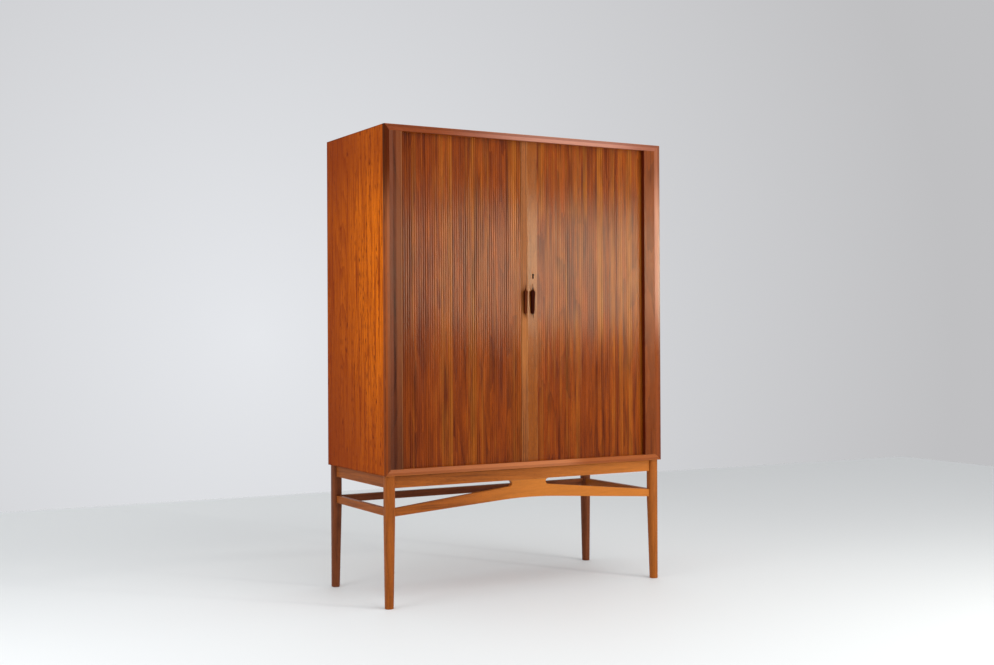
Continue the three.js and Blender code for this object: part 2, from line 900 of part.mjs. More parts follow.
// A square with round corners that lies at an inset from the leg's two outer faces
function legRing(sideX, sideY, inset, size, radius, height) {
  const ring = [];
  const half = size / 2;
  const middleX = sideX * (legOuterX - inset - half);
  const middleY = sideY * (legOuterY - inset - half);
  for (let corner = 0; corner < 4; corner += 1) {
    const diagonal = (corner + 0.5) * Math.PI / 2;
    const cornerX = Math.sign(Math.cos(diagonal)) * (half - radius);
    const cornerY = Math.sign(Math.sin(diagonal)) * (half - radius);
    for (let step = 0; step <= legCornerSteps; step += 1) {
      const angle = (corner + step / legCornerSteps) * Math.PI / 2;
      ring.push(new THREE.Vector3(
        middleX + cornerX + radius * Math.cos(angle),
        middleY + cornerY + radius * Math.sin(angle),
        height,
      ));
    }
  }
  return ring;
}

function leg(sideX, sideY) {
  const blank = loft([
    legRing(sideX, sideY, footChamfer, footSize - 2 * footChamfer, footCornerRadius - footChamfer, 0),
    legRing(sideX, sideY, 0, footSize, footCornerRadius, footChamfer),
    legRing(sideX, sideY, 0, legSize, legCornerRadius, legTaperStart),
    legRing(sideX, sideY, 0, legSize, legCornerRadius, legTop),
  ]);
  const alongX = sideY < 0 ? [frontApronRail, archRail] : [backApronRail, backStretcherRail];
  const alongY = sideX < 0 ? [sideRails[0], sideStretcherRails[0]] : [sideRails[1], sideStretcherRails[1]];
  return cutAll(blank, [
    ...alongX.map((rail) => tenon(rail, sideX, jointGap)),
    ...alongY.map((rail) => tenon(rail, sideY, jointGap)),
  ]);
}

function screwPlaces() {
  return [-1, 1].flatMap((sideX) => [-1, 1].map((sideY) => [sideX * railX, sideY * screwOffset]));
}

function screwHeadPlace() {
  return apronBottom + counterboreDepth - screwHeadHeight - jointGap;
}

// A wood screw along Z, with the underside of its head at zero
function screw() {
  const length = caseBottom + screwGrip - screwHeadPlace();
  const profile = [
    [0, 0],
    [screwHeadRadius, 0],
    [screwHeadRadius, screwHeadRim],
    [screwShankRadius, screwHeadHeight],
    [screwShankRadius, length - screwTipLength],
    [0, length],
  ].map(([radius, height]) => new THREE.Vector2(radius, height));
  const geometry = new THREE.LatheGeometry(profile, screwSides);
  geometry.rotateX(Math.PI / 2);
  return solidOf(geometry);
}

// Assembly

function caseGroup() {
  const group = new THREE.Group();
  group.add(piece('top_panel', topPanel(), finishes.caseTeak));
  group.add(piece('bottom_panel', bottomPanel(), finishes.caseTeak));
  group.add(piece('left_side', sidePanel(-1), finishes.caseTeak));
  group.add(piece('right_side', sidePanel(1), finishes.caseTeak));
  group.add(piece('back_panel', backPanel(), finishes.backBoard));
  group.add(piece('left_post', post(-1), finishes.postTeak));
  group.add(piece('right_post', post(1), finishes.postTeak));
  group.add(piece('left_curtain_tail', curtainTail(-1), finishes.slatTeak));
  group.add(piece('right_curtain_tail', curtainTail(1), finishes.slatTeak));
  group.add(piece('left_inner_side', innerSide(-1), finishes.innerWood));
  group.add(piece('right_inner_side', innerSide(1), finishes.innerWood));
  group.add(piece('inner_back', innerBack(), finishes.innerWood));
  group.add(piece('centre_divider', centreDivider(), finishes.innerWood));
  placeShelves(group);
  return group;
}

function leftDoorGroup() {
  const group = new THREE.Group();
  group.add(piece('left_curtain', curtain(-1), finishes.slatTeak));
  group.add(piece('left_leading_stile', leftStile(), finishes.stileTeak));
  group.add(piece('left_pull', pull(-1), finishes.pullWood));
  group.add(piece('strike_plate', lockPlate(-1), finishes.brass));
  return group;
}

function rightDoorGroup() {
  const group = new THREE.Group();
  group.add(piece('right_curtain', curtain(1), finishes.slatTeak));
  group.add(piece('right_leading_stile', rightStile(), finishes.stileTeak));
  group.add(piece('right_pull', pull(1), finishes.pullWood));
  group.add(piece('lock_face_plate', lockPlate(1), finishes.brass));
  group.add(piece('lock_case', lockCase(), finishes.steel));
  group.add(piece('lock_bolt', lockBolt(), finishes.brass));
  return group;
}

function baseGroup() {
  const group = new THREE.Group();
  group.position.y = baseSetback;
  for (const [rowName, sideY] of [['front', -1], ['back', 1]]) {
    for (const [sideName, sideX] of [['left', -1], ['right', 1]]) {
      group.add(piece(`${rowName}_${sideName}_leg`, leg(sideX, sideY), finishes.baseTeak));
    }
  }
  group.add(piece('front_apron', straightRail(frontApronRail), finishes.baseTeak));
  group.add(piece('back_apron', straightRail(backApronRail), finishes.baseTeak));
  group.add(piece('left_side_rail', sideRail(-1), finishes.baseTeak));
  group.add(piece('right_side_rail', sideRail(1), finishes.baseTeak));
  group.add(piece('front_arch_stretcher', archStretcher(), finishes.baseTeak));
  group.add(piece('back_stretcher', straightRail(backStretcherRail), finishes.baseTeak));
  group.add(piece('left_side_stretcher', straightRail(sideStretcherRails[0]), finishes.baseTeak));
  group.add(piece('right_side_stretcher', straightRail(sideStretcherRails[1]), finishes.baseTeak));
  for (const [number, [x, y]] of screwPlaces().entries()) {
    const fixing = piece(`case_screw_${number + 1}`, screw(), finishes.steel);
    fixing.position.set(x, y, screwHeadPlace());
    group.add(fixing);
  }
  return group;
}

const cabinet = new THREE.Group();
cabinet.name = 'tambour_door_cabinet';
cabinet.add(caseGroup(), leftDoorGroup(), rightDoorGroup(), baseGroup());

export default cabinet;
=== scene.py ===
import math
import random

import bmesh
import bpy
from mathutils import Matrix, Vector


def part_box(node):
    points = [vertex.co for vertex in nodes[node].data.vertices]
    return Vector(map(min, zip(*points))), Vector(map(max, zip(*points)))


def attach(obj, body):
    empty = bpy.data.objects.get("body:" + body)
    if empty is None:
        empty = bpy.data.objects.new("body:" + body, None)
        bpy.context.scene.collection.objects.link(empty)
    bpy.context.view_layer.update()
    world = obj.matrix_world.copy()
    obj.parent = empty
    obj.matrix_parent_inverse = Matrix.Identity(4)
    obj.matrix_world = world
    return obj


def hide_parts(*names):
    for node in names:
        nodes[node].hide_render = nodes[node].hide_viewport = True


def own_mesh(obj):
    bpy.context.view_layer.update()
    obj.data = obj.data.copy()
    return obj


# Tambour door cabinet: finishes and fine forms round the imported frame. Metres, +Z up, the doors face -Y.

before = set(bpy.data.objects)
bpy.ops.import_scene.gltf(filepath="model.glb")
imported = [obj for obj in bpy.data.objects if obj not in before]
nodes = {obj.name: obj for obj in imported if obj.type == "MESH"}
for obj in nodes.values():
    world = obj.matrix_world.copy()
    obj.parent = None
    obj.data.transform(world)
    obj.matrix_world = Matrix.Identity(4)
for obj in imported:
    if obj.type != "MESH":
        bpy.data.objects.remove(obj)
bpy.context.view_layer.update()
print("frame loaded:", len(nodes), "nodes")


# Camera

cameraView = {
    "place": (-2.344, -4.102, 0.884),
    "turn": 29.78,  # degrees to the right of a straight look at the doors
    "tilt": 0.14,
    "roll": -0.275,
    "lens": 47.67,
}


def makeCamera(look):
    camera = bpy.data.objects.new("camera", bpy.data.cameras.new("camera"))
    bpy.context.scene.collection.objects.link(camera)
    turn = Matrix.Rotation(math.radians(-look["turn"]), 4, "Z")
    tilt = Matrix.Rotation(math.radians(90 + look["tilt"]), 4, "X")
    roll = Matrix.Rotation(math.radians(look["roll"]), 4, "Z")
    camera.matrix_world = Matrix.Translation(look["place"]) @ turn @ tilt @ roll
    camera.data.lens = look["lens"]
    bpy.context.scene.camera = camera


makeCamera(cameraView)
print("camera made")


# Shader building

def fromHex(code):  # "#b5651d" as the linear colour that a shader takes
    shares = [int(code[i:i + 2], 16) / 255 for i in (1, 3, 5)]
    return (*[s / 12.92 if s <= 0.04045 else ((s + 0.055) / 1.055) ** 2.4 for s in shares], 1.0)


def addNode(tree, kind, inputs=None, **settings):
    made = tree.nodes.new("ShaderNode" + kind)
    for name, value in settings.items():
        setattr(made, name, value)
    for name, value in (inputs or {}).items():
        if isinstance(value, bpy.types.NodeSocket):
            tree.links.new(value, made.inputs[name])
        else:
            made.inputs[name].default_value = value
    return made


def calc(tree, operation, *values):
    return addNode(tree, "Math", dict(enumerate(values)), operation=operation).outputs[0]


def calcVector(tree, operation, *values):
    return addNode(tree, "VectorMath", dict(enumerate(values)), operation=operation).outputs[0]


def fade(tree, value, low, high, start=0.0, end=1.0):  # a smooth step from start at low to end at high
    ends = {"Value": value, "From Min": low, "From Max": high, "To Min": start, "To Max": end}
    return addNode(tree, "MapRange", ends, interpolation_type="SMOOTHSTEP").outputs["Result"]


def blendColor(tree, factor, first, second):
    return addNode(tree, "Mix", {0: factor, 6: first, 7: second}, data_type="RGBA").outputs[2]


def scaledNoise(tree, vector, scale, detail=1.0, rough=0.5):
    scaled = calcVector(tree, "MULTIPLY", vector, scale)
    values = {"Vector": scaled, "Scale": 1.0, "Detail": detail, "Roughness": rough}
    return addNode(tree, "TexNoise", values).outputs[0]


def noise(tree, vector, across, along, detail=1.0, rough=0.5):  # spots of that size, in metres
    return scaledNoise(tree, vector, (1 / across, 1 / across, 1 / along), detail, rough)


noiseMiddle = 0.5  # the value that a noise swings round


def newGroup(name, inputs, outputs):
    group = bpy.data.node_groups.new(name, "ShaderNodeTree")
    for label, kind in inputs:
        group.interface.new_socket(label, in_out="INPUT", socket_type="NodeSocket" + kind)
    for label, kind in outputs:
        group.interface.new_socket(label, in_out="OUTPUT", socket_type="NodeSocket" + kind)
    given = group.nodes.new("NodeGroupInput").outputs
    result = group.nodes.new("NodeGroupOutput").inputs
    return group, given, result


# Wood figure: growth rings as the contour lines of a slow noise, bands, streaks, flecks, fibres and pores.
# The grain runs along Z of the vector, which is in metres. A noise is given by the size of its spots across
# and along the grain, then by its detail and its roughness where they aren't the usual ones.

figure = {
    "hill": (0.20, 2.2),
    "swirl": (0.06, 0.45, 2.0),
    "swirlShare": 0.10,
    "ringPower": 2.2,
    "band": (0.055, 1.7, 2.0),
    "bandShare": 0.30,
    "streak": (0.013, 0.42, 3.0, 0.6),
    "streakRange": (0.50, 0.74),
    "patchDetail": 2.0,
    "patchMiddle": 0.4,
    "fleckRange": (0.50, 0.68),
    "fleckBand": (0.011, 0.30),
    "fleckBandRange": (0.46, 0.64),
    "fleckLeast": 0.15,  # how much of the flecks is left between their bands
    "fibre": (0.0011, 0.05, 2.0),
    "fibreShare": 0.5,
    "pore": (0.0006, 0.009, 0.0),
    "poreRange": (0.60, 0.70),
    "poreShade": 0.35,
    "ringHeight": 0.25,
}


def makeFigureGroup(look):
    inputs = [
        ("Vector", "Vector"), ("Pale", "Color"), ("Deep", "Color"), ("Dark", "Color"),
        ("Ring Count", "Float"), ("Rings", "Float"), ("Streaks", "Float"), ("Flecks", "Float"),
        ("Fleck Scale", "Vector"), ("Patches", "Float"), ("Patch Scale", "Vector"),
    ]
    group, given, result = newGroup("woodFigure", inputs, [("Color", "Color"), ("Height", "Float")])
    vector = given["Vector"]
    hill = noise(group, vector, *look["hill"])
    swirl = noise(group, vector, *look["swirl"])
    contour = calc(group, "MULTIPLY_ADD", swirl, look["swirlShare"], hill)
    turns = calc(group, "FRACT", calc(group, "MULTIPLY", contour, given["Ring Count"]))
    ring = calc(group, "POWER", turns, look["ringPower"])
    band = noise(group, vector, *look["band"])
    streak = fade(group, noise(group, vector, *look["streak"]), *look["streakRange"])
    spots = scaledNoise(group, vector, given["Fleck Scale"])
    fleckBand = noise(group, vector, *look["fleckBand"])
    gathered = fade(group, fleckBand, *look["fleckBandRange"], look["fleckLeast"], 1.0)
    fleck = calc(group, "MULTIPLY", fade(group, spots, *look["fleckRange"]), gathered)
    fibre = noise(group, vector, *look["fibre"])
    pore = fade(group, noise(group, vector, *look["pore"]), *look["poreRange"])

    tone = calc(group, "MULTIPLY_ADD", ring, given["Rings"], calc(group, "MULTIPLY", band, look["bandShare"]))
    tone = calc(group, "MULTIPLY_ADD", streak, given["Streaks"], tone)
    patchNoise = scaledNoise(group, vector, given["Patch Scale"], look["patchDetail"])
    patch = calc(group, "SUBTRACT", patchNoise, look["patchMiddle"])
    tone = calc(group, "MULTIPLY_ADD", patch, given["Patches"], tone)
    fibreTone = calc(group, "MULTIPLY", calc(group, "SUBTRACT", fibre, noiseMiddle), look["fibreShare"])
    tone = calc(group, "ADD", tone, fibreTone)
    plain = blendColor(group, tone, given["Pale"], given["Deep"])
    fleckShade = calc(group, "MULTIPLY", fleck, given["Flecks"])
    poreShade = calc(group, "MULTIPLY", pore, look["poreShade"])
    shade = calc(group, "MAXIMUM", fleckShade, poreShade)
    group.links.new(blendColor(group, shade, plain, given["Dark"]), result["Color"])
    pit = calc(group, "MULTIPLY_ADD", ring, look["ringHeight"], pore)
    group.links.new(calc(group, "SUBTRACT", fibre, pit), result["Height"])
    return group


# Edge wear and painted edge highlight: a mask that is 1 along the edges of a box and fades out over a width

wearAndHighlight = {"spot": (0.05, 0.05), "range": (0.25, 0.6)}


def makeWearAndHighlightGroup(look):
    inputs = [("Vector", "Vector"), ("Low", "Vector"), ("High", "Vector"), ("Width", "Float")]
    group, given, result = newGroup("edgeWearAndHighlight", inputs, [("Mask", "Float")])
    toLow = calcVector(group, "SUBTRACT", given["Vector"], given["Low"])
    toHigh = calcVector(group, "SUBTRACT", given["High"], given["Vector"])
    x, y, z = addNode(group, "SeparateXYZ", {0: calcVector(group, "MINIMUM", toLow, toHigh)}).outputs
    larger = calc(group, "MINIMUM", calc(group, "MAXIMUM", x, y), z)
    toEdge = calc(group, "MAXIMUM", calc(group, "MINIMUM", x, y), larger)  # the middle one of the three
    rim = calc(group, "SUBTRACT", 1.0, calc(group, "DIVIDE", toEdge, given["Width"]))
    patchy = fade(group, noise(group, given["Vector"], *look["spot"]), *look["range"])
    mask = calc(group, "MULTIPLY", calc(group, "MAXIMUM", rim, 0.0), patchy)
    group.links.new(mask, result["Mask"])
    return group


# Oiled surface: gloss that changes with handling, and duller where the wood is open

oiled = {
    "cloud": (0.09, 0.09, 2.0), "smear": (0.004, 0.12), "cloudShare": 0.16, "smearShare": 0.10,
    "openShare": 0.05,
}


def makeOilGroup(look):
    inputs = [("Vector", "Vector"), ("Height", "Float"), ("Middle", "Float")]
    group, given, result = newGroup("oiledGloss", inputs, [("Roughness", "Float")])
    cloud = calc(group, "SUBTRACT", noise(group, given["Vector"], *look["cloud"]), noiseMiddle)
    smear = calc(group, "SUBTRACT", noise(group, given["Vector"], *look["smear"]), noiseMiddle)
    value = calc(group, "MULTIPLY_ADD", cloud, look["cloudShare"], given["Middle"])
    value = calc(group, "MULTIPLY_ADD", smear, look["smearShare"], value)
    value = calc(group, "MULTIPLY_ADD", given["Height"], -look["openShare"], value)
    group.links.new(value, result["Roughness"])
    return group


figureGroup = makeFigureGroup(figure)
wearAndHighlightGroup = makeWearAndHighlightGroup(wearAndHighlight)
oilGroup = makeOilGroup(oiled)
print("shader groups made")


# Materials

grainTurns = {"x": (0, math.radians(-90), 0), "y": (math.radians(90), 0, 0), "z": (0, 0, 0)}
seedStep = (3.7, 5.3, 2.9)  # metres between the places in the figure that two pieces take
firstSeeds = {"case": 1, "back": 7, "posts": 11, "inner": 21, "stiles": 31, "base": 41, "pulls": 51}
lineCore = 0.4  # the share of a line's half width that has its full colour
blur = 0.001  # width of the border between two woods


def newMaterial(name, **values):
    material = bpy.data.materials.new(name)
    material.use_nodes = True
    shader = material.node_tree.nodes["Principled BSDF"]
    for label, value in values.items():
        shader.inputs[label].default_value = value
    return material, material.node_tree, shader


def woodColor(tree, look, vector):
    values = {"Vector": vector, "Ring Count": look["ringCount"]}
    values |= {name: fromHex(look[name.lower()]) for name in ("Pale", "Deep", "Dark")}
    values |= {name: look[name.lower()] for name in ("Rings", "Streaks", "Flecks", "Patches")}
    for name, (across, along) in (("Fleck Scale", look["fleckSize"]), ("Patch Scale", look["patchSize"])):
        values[name] = (1 / across, 1 / across, 1 / along)
    return addNode(tree, "Group", values, node_tree=figureGroup).outputs


def finishWood(tree, shader, look, vector, color, height, bow=None):
    values = {"Vector": vector, "Height": height, "Middle": look["roughness"]}
    gloss = addNode(tree, "Group", values, node_tree=oilGroup)
    if bow:
        height = calc(tree, "ADD", height, bow)
    bump = addNode(tree, "Bump", {"Height": height, "Distance": look["relief"], "Strength": 1.0})
    tree.links.new(color, shader.inputs["Base Color"])
    tree.links.new(gloss.outputs["Roughness"], shader.inputs["Roughness"])
    tree.links.new(bump.outputs["Normal"], shader.inputs["Normal"])
    shader.inputs["Specular IOR Level"].default_value = look["specular"]


def tinted(tree, color, places, tints):  # each tint is faded in along one axis or more
    for tint, slopes in tints:
        share = 1.0
        for axis, *limits in slopes:
            share = calc(tree, "MULTIPLY", fade(tree, places[axis], *limits), share)
        color = blendColor(tree, share, color, fromHex(tint))
    return color


def lipped(tree, shader, look, places, corners, color):  # a solid front edge on a veneered board
    # the tints on the solid edge are painted sheen
    edge = tinted(tree, fromHex(look["lipping"]), places, look["lippingTints"])
    axis, end = look["outside"]  # the flat along the outer face differs from the bevel beside it: painted shade, as the painted sheen sits on the bevel
    inward = calc(tree, "ABSOLUTE", calc(tree, "SUBTRACT", places[axis], corners[end][axis]))
    flat = fade(tree, inward, look["flatWidth"], look["flatWidth"] + blur, look["flatShare"], 0.0)
    shade = tinted(tree, fromHex(look["flatShade"]), places, look.get("flatTints", ()))
    edge = blendColor(tree, flat, edge, shade)
    border = corners[0].y + look["lippingDepth"]
    solid = fade(tree, places[1], border, border + blur, 1.0, 0.0)
    tree.links.new(calc(tree, "MULTIPLY", solid, look["polish"]), shader.inputs["Coat Weight"])
    shader.inputs["Coat Roughness"].default_value = look["polishRoughness"]
    shader.inputs["Coat IOR"].default_value = look["polishIor"]
    return blendColor(tree, calc(tree, "MULTIPLY", solid, look["lippingShare"]), color, edge)


def makeWood(name, look, along, seed, corners):
    material, tree, shader = newMaterial(name)
    place = addNode(tree, "TexCoord").outputs["Object"]
    places = addNode(tree, "SeparateXYZ", {0: place}).outputs
    offset = tuple(seed * step for step in seedStep)
    turned = {"Vector": place, "Location": offset, "Rotation": grainTurns[along]}
    vector = addNode(tree, "Mapping", turned).outputs[0]
    color, relief = woodColor(tree, look, vector)
    for at, width, share, tint in look.get("lines", ()):  # bands of another colour that run up the piece
        aside = calc(tree, "ABSOLUTE", calc(tree, "SUBTRACT", places[0], at))
        band = fade(tree, aside, lineCore * width, width, share, 0.0)
        color = blendColor(tree, band, color, fromHex(tint))
    color = tinted(tree, color, places, look.get("tints", ()))
    if "lipping" in look:
        color = lipped(tree, shader, look, places, corners, color)
    # pale edges: wear, and on the posts a painted highlight along their rounded edges
    values = {"Vector": place, "Low": corners[0], "High": corners[1], "Width": look["wearAndHighlightWidth"]}
    mask = addNode(tree, "Group", values, node_tree=wearAndHighlightGroup).outputs["Mask"]
    color = blendColor(tree, calc(tree, "MULTIPLY", mask, look["wearAndHighlight"]), color, fromHex(look["wearAndHighlightTone"]))
    finishWood(tree, shader, look, vector, color, relief)
    return material


# Soft edges of the carried-over pieces. The angles are in degrees.

softening = {"flatAngle": 0.3, "bevelAngle": 35, "smoothAngle": 40, "segments": 3}


def makeShadeGroup(look):  # smooth across shallow edges, sharp across steep ones
    group = bpy.data.node_groups.new("softShade", "GeometryNodeTree")
    group.interface.new_socket("Geometry", in_out="INPUT", socket_type="NodeSocketGeometry")
    group.interface.new_socket("Geometry", in_out="OUTPUT", socket_type="NodeSocketGeometry")
    given = group.nodes.new("NodeGroupInput")
    result = group.nodes.new("NodeGroupOutput")
    angle = group.nodes.new("GeometryNodeInputMeshEdgeAngle")
    shallow = group.nodes.new("FunctionNodeCompare")
    shallow.operation = "LESS_THAN"
    shallow.inputs["B"].default_value = math.radians(look["smoothAngle"])
    faces = group.nodes.new("GeometryNodeSetShadeSmooth")
    edges = group.nodes.new("GeometryNodeSetShadeSmooth")
    edges.domain = "EDGE"
    group.links.new(angle.outputs["Unsigned Angle"], shallow.inputs["A"])
    group.links.new(given.outputs[0], faces.inputs["Geometry"])
    group.links.new(faces.outputs[0], edges.inputs["Geometry"])
    group.links.new(shallow.outputs[0], edges.inputs["Shade Smooth"])
    group.links.new(edges.outputs[0], result.inputs[0])
    return group


shadeGroup = makeShadeGroup(softening)


def softenEdges(piece, width, look):
    flat = piece.modifiers.new("flatFaces", "DECIMATE")
    flat.decimate_type = "DISSOLVE"
    flat.angle_limit = math.radians(look["flatAngle"])
    bevel = piece.modifiers.new("edges", "BEVEL")
    bevel.width = width
    bevel.segments = look["segments"]
    bevel.limit_method = "ANGLE"
    bevel.angle_limit = math.radians(look["bevelAngle"])
    piece.modifiers.new("shade", "NODES").node_group = shadeGroup
    piece.modifiers.new("normals", "WEIGHTED_NORMAL").keep_sharp = True


def dress(name, material, edge):
    piece = nodes[name]
    piece.data.materials.clear()
    piece.data.materials.append(material)
    softenEdges(piece, edge, softening)


def dressWood(name, look, along, seed):
    dress(name, makeWood(name, look, along, seed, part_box(name)), look["edge"])


def newPiece(name, points, faces, material):
    mesh = bpy.data.meshes.new(name)
    mesh.from_pydata(points, [], faces)
    mesh.validate()
    mesh.polygons.foreach_set("use_smooth", [True] * len(mesh.polygons))
    mesh.set_sharp_from_angle(angle=math.radians(softening["smoothAngle"]))
    mesh.materials.append(material)
    piece = bpy.data.objects.new(name, mesh)
    bpy.context.scene.collection.objects.link(piece)
    return piece


def sideFaces(starts, count):  # between rings of count points each, which are given by their first points
    return [
        (here + step, here + (step + 1) % count, after + (step + 1) % count, after + step)
        for here, after in zip(starts, starts[1:]) for step in range(count)
    ]


def tubeFaces(starts, count):  # the same, closed at both ends
    ends = [tuple(range(start, start + count)) for start in (starts[0], starts[-1])]
    return sideFaces(starts, count) + ends


def faceOut(piece):
    shell = bmesh.new()
    shell.from_mesh(piece.data)
    bmesh.ops.recalc_face_normals(shell, faces=shell.faces)
    shell.to_mesh(piece.data)
    shell.free()


def standFor(piece, body, slot, *replaced):
    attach(piece, body)
    if replaced:
        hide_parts(*replaced)


# Case: teak-veneered boards with solid edges

caseTeak = {
    "pale": "#e3740c", "deep": "#953c05", "dark": "#561d05", "wearAndHighlightTone": "#c5762f",
    "ringCount": 26.0, "rings": 0.45, "streaks": 0.8, "flecks": 0.95, "fleckSize": (0.006, 0.028),
    "patches": 0.9, "patchSize": (0.014, 0.11),
    "roughness": 0.5, "specular": 0.015, "relief": 0.00012, "wearAndHighlight": 0.3, "wearAndHighlightWidth": 0.003,
    "edge": 0.0008,
}
caseBoard = caseTeak | {
    "tints": [  # redder towards the back, partly the board's own darker band and partly painted shade where the light falls off; redder too towards the bottom and the top
        ("#7a2c0c", [(1, -0.2, 0.24, 0.0, 0.68)]), ("#7a2c0c", [(2, 0.45, 1.0, 0.55, 0.0)]),
        ("#7a2c0c", [(2, 1.28, 1.52, 0.0, 0.48)]),
    ],
    "lippingDepth": 0.0125, "lippingShare": 0.9, "polishRoughness": 0.18, "polishIor": 1.6,
    # Painted shade on the flat of each solid edge, beside the bevel that carries the painted sheen
    "flatWidth": 0.0085, "flatShade": "#4a1c0c", "flatShare": 0.45,
}
# Painted sheen: paler, pinker bands on the solid front edges where they mirror the lamps, at the middle
# heights on the sides and towards the right on the top and bottom
paintedSheenLeft = [("#8a5236", [(2, 0.45, 1.15, 0.3, 1.0), (2, 1.25, 1.45, 1.0, 0.0)])]
paintedSheenRight = [("#c68e74", [(2, 0.80, 1.08), (2, 1.30, 1.52, 1.0, 0.25)])]
paintedSheenTop = [("#b98270", [(0, -0.4, 0.12), (0, 0.30, 0.52, 1.0, 0.35)])]
paintedSheenBottom = [("#b67046", [(0, -0.5, 0.1, 0.2, 0.8), (0, 0.13, 0.24, 1.0, 0.15)])]
# Each board's grain, its solid front edge (colour, polish, painted sheen) and its outer face (axis, end)
caseBoards = {
    "left_side": ("z", "#401304", 0.03, paintedSheenLeft, 0, 0),
    "right_side": ("z", "#7e3c18", 0.3, paintedSheenRight, 0, 1),
    "top_panel": ("x", "#7a3614", 0.3, paintedSheenTop, 2, 1),
    "bottom_panel": ("x", "#8a4416", 0.3, paintedSheenBottom, 2, 0),
}
darkerEdges = {"wearAndHighlightTone": "#3c1405", "wearAndHighlight": 0.6, "wearAndHighlightWidth": 0.0045}  # darker along the sides' long edges
flats = {  # boards whose flat has lighter painted shade than the others'
    "left_side": {"flatShade": "#8a3e12", "flatShare": 0.55, "flatTints": [("#2c0e03", [(2, 1.1, 1.4)])]},
    "bottom_panel": {"flatShare": 0.25},
}
for seed, (name, board) in enumerate(caseBoards.items(), firstSeeds["case"]):
    along, lipping, polish, paler, axis, end = board
    look = caseBoard | {"lipping": lipping, "polish": polish, "lippingTints": paler, "outside": (axis, end)}
    if axis == 0:
        look |= darkerEdges
    dressWood(name, look | flats.get(name, {}), along, seed)

backBoard = caseTeak | {
    "pale": "#a8662c", "deep": "#7c431b", "rings": 0.45, "streaks": 0.3, "flecks": 0.3,
    "roughness": 0.62, "wearAndHighlight": 0.0, "edge": 0.0005,
}
dressWood("back_panel", backBoard, "z", firstSeeds["back"])

# On the posts the pale edge tone is a painted highlight along their rounded edges
postTeak = caseTeak | {
    "edge": 0.0018, "specular": 0.15, "roughness": 0.25, "wearAndHighlightTone": "#96603c", "wearAndHighlight": 0.25, "wearAndHighlightWidth": 0.0022,
    "flecks": 0.2, "fleckSize": (0.003, 0.02),
}
posts = {
    "left_post": postTeak | {
        "pale": "#662b0d", "deep": "#381405", "specular": 0.14,
        "lines": [
            (-0.524, 0.010, 0.5, "#7c442c"), (-0.498, 0.011, 0.4, "#8f4e28"),
            # painted highlight along the post's rounded inner edge
            (-0.4862, 0.0040, 0.6, "#99592c"),
        ],
        "tints": [("#260c03", [(2, 0.45, 0.85, 0.5, 0.0)])],
    },
    "right_post": postTeak | {
        # painted shade on the post's left face, beside the curtain
        "pale": "#843e12", "deep": "#5c280a", "specular": 0.13, "lines": [(0.485, 0.002, 0.95, "#551808")],
    },
}
for seed, (name, look) in enumerate(posts.items(), firstSeeds["posts"]):
    dressWood(name, look, "z", seed)
print("case dressed")


# Interior: paler waxed boards

innerWood = caseTeak | {
    "pale": "#c48a52", "deep": "#9a5f30", "dark": "#5a3116", "wearAndHighlightTone": "#d6a878",
    "rings": 0.4, "streaks": 0.25, "flecks": 0.25, "fleckSize": (0.003, 0.02), "roughness": 0.5,
    "specular": 0.25, "edge": 0.0007,
}
innerBoards = {name: "z" for name in ("left_inner_side", "right_inner_side", "inner_back", "centre_divider")}
innerBoards |= {f"{side}_shelf_{level}": "x" for side in ("left", "right") for level in (1, 2)}
for seed, (name, along) in enumerate(innerBoards.items(), firstSeeds["inner"]):
    dressWood(name, innerWood, along, seed)
print("interior dressed")


# Metal: turned and brushed, with a little tarnish

def makeMetal(name, look):
    material, tree, shader = newMaterial(name, Metallic=1.0)
    place = addNode(tree, "TexCoord").outputs["Object"]
    tarnish = fade(tree, noise(tree, place, *look["spot"]), *look["range"])
    brushed = noise(tree, place, *look["brush"])
    color = blendColor(tree, tarnish, fromHex(look["bright"]), fromHex(look["dull"]))
    rough = calc(tree, "MULTIPLY_ADD", tarnish, look["dullness"], look["roughness"])
    rough = calc(tree, "MULTIPLY_ADD", brushed, look["brushShare"], rough)
    bump = addNode(tree, "Bump", {"Height": brushed, "Distance": look["relief"], "Strength": 1.0})
    tree.links.new(color, shader.inputs["Base Color"])
    tree.links.new(rough, shader.inputs["Roughness"])
    tree.links.new(bump.outputs["Normal"], shader.inputs["Normal"])
    return material


brass = {
    "bright": "#c9a35a", "dull": "#7d5c2c", "spot": (0.004, 0.004, 3.0), "range": (0.4, 0.7),
    "brush": (0.0003, 0.004, 2.0), "roughness": 0.28, "dullness": 0.25, "brushShare": 0.1,
    "relief": 0.00002, "edge": 0.0004,
}
steel = brass | {"bright": "#a9abac", "dull": "#5f5a55"}
brassMaterial = makeMetal("agedBrass", brass)
steelMaterial = makeMetal("greySteel", steel)
shelfPins = [name for name in nodes if "_pin_" in name]
for name in (*shelfPins, "lock_bolt", "strike_plate", "lock_face_plate"):
    dress(name, brassMaterial, brass["edge"])
for name in ("lock_case", *[f"case_screw_{number}" for number in (1, 2, 3, 4)]):
    dress(name, steelMaterial, steel["edge"])
print("metal dressed")


# Back: slotted screws hold the panel in its rebate

backScrews = {
    "radius": 0.0028, "slotHalf": 0.00035, "height": 0.0003, "taper": 0.88, "turns": 12, "seed": 17,
    "slotFloor": 0.00005, "floorShare": 0.97,  # the floor of the slot: its height, its share of the radius
    "sideX": 0.5348, "sideZ": (0.47, 0.82, 1.18, 1.53),
    "edgeX": (-0.34, 0.0, 0.34), "edgeZ": (0.4463, 1.5567),
}


def addDisc(points, faces, middle, turns, rings):  # each ring is given by its height and its radius
    first, (x, y, z) = len(points), middle
    for height, reach in rings:
        points += [(x + reach * math.cos(turn), y + height, z + reach * math.sin(turn)) for turn in turns]
    faces += tubeFaces(range(first, len(points), len(turns)), len(turns))


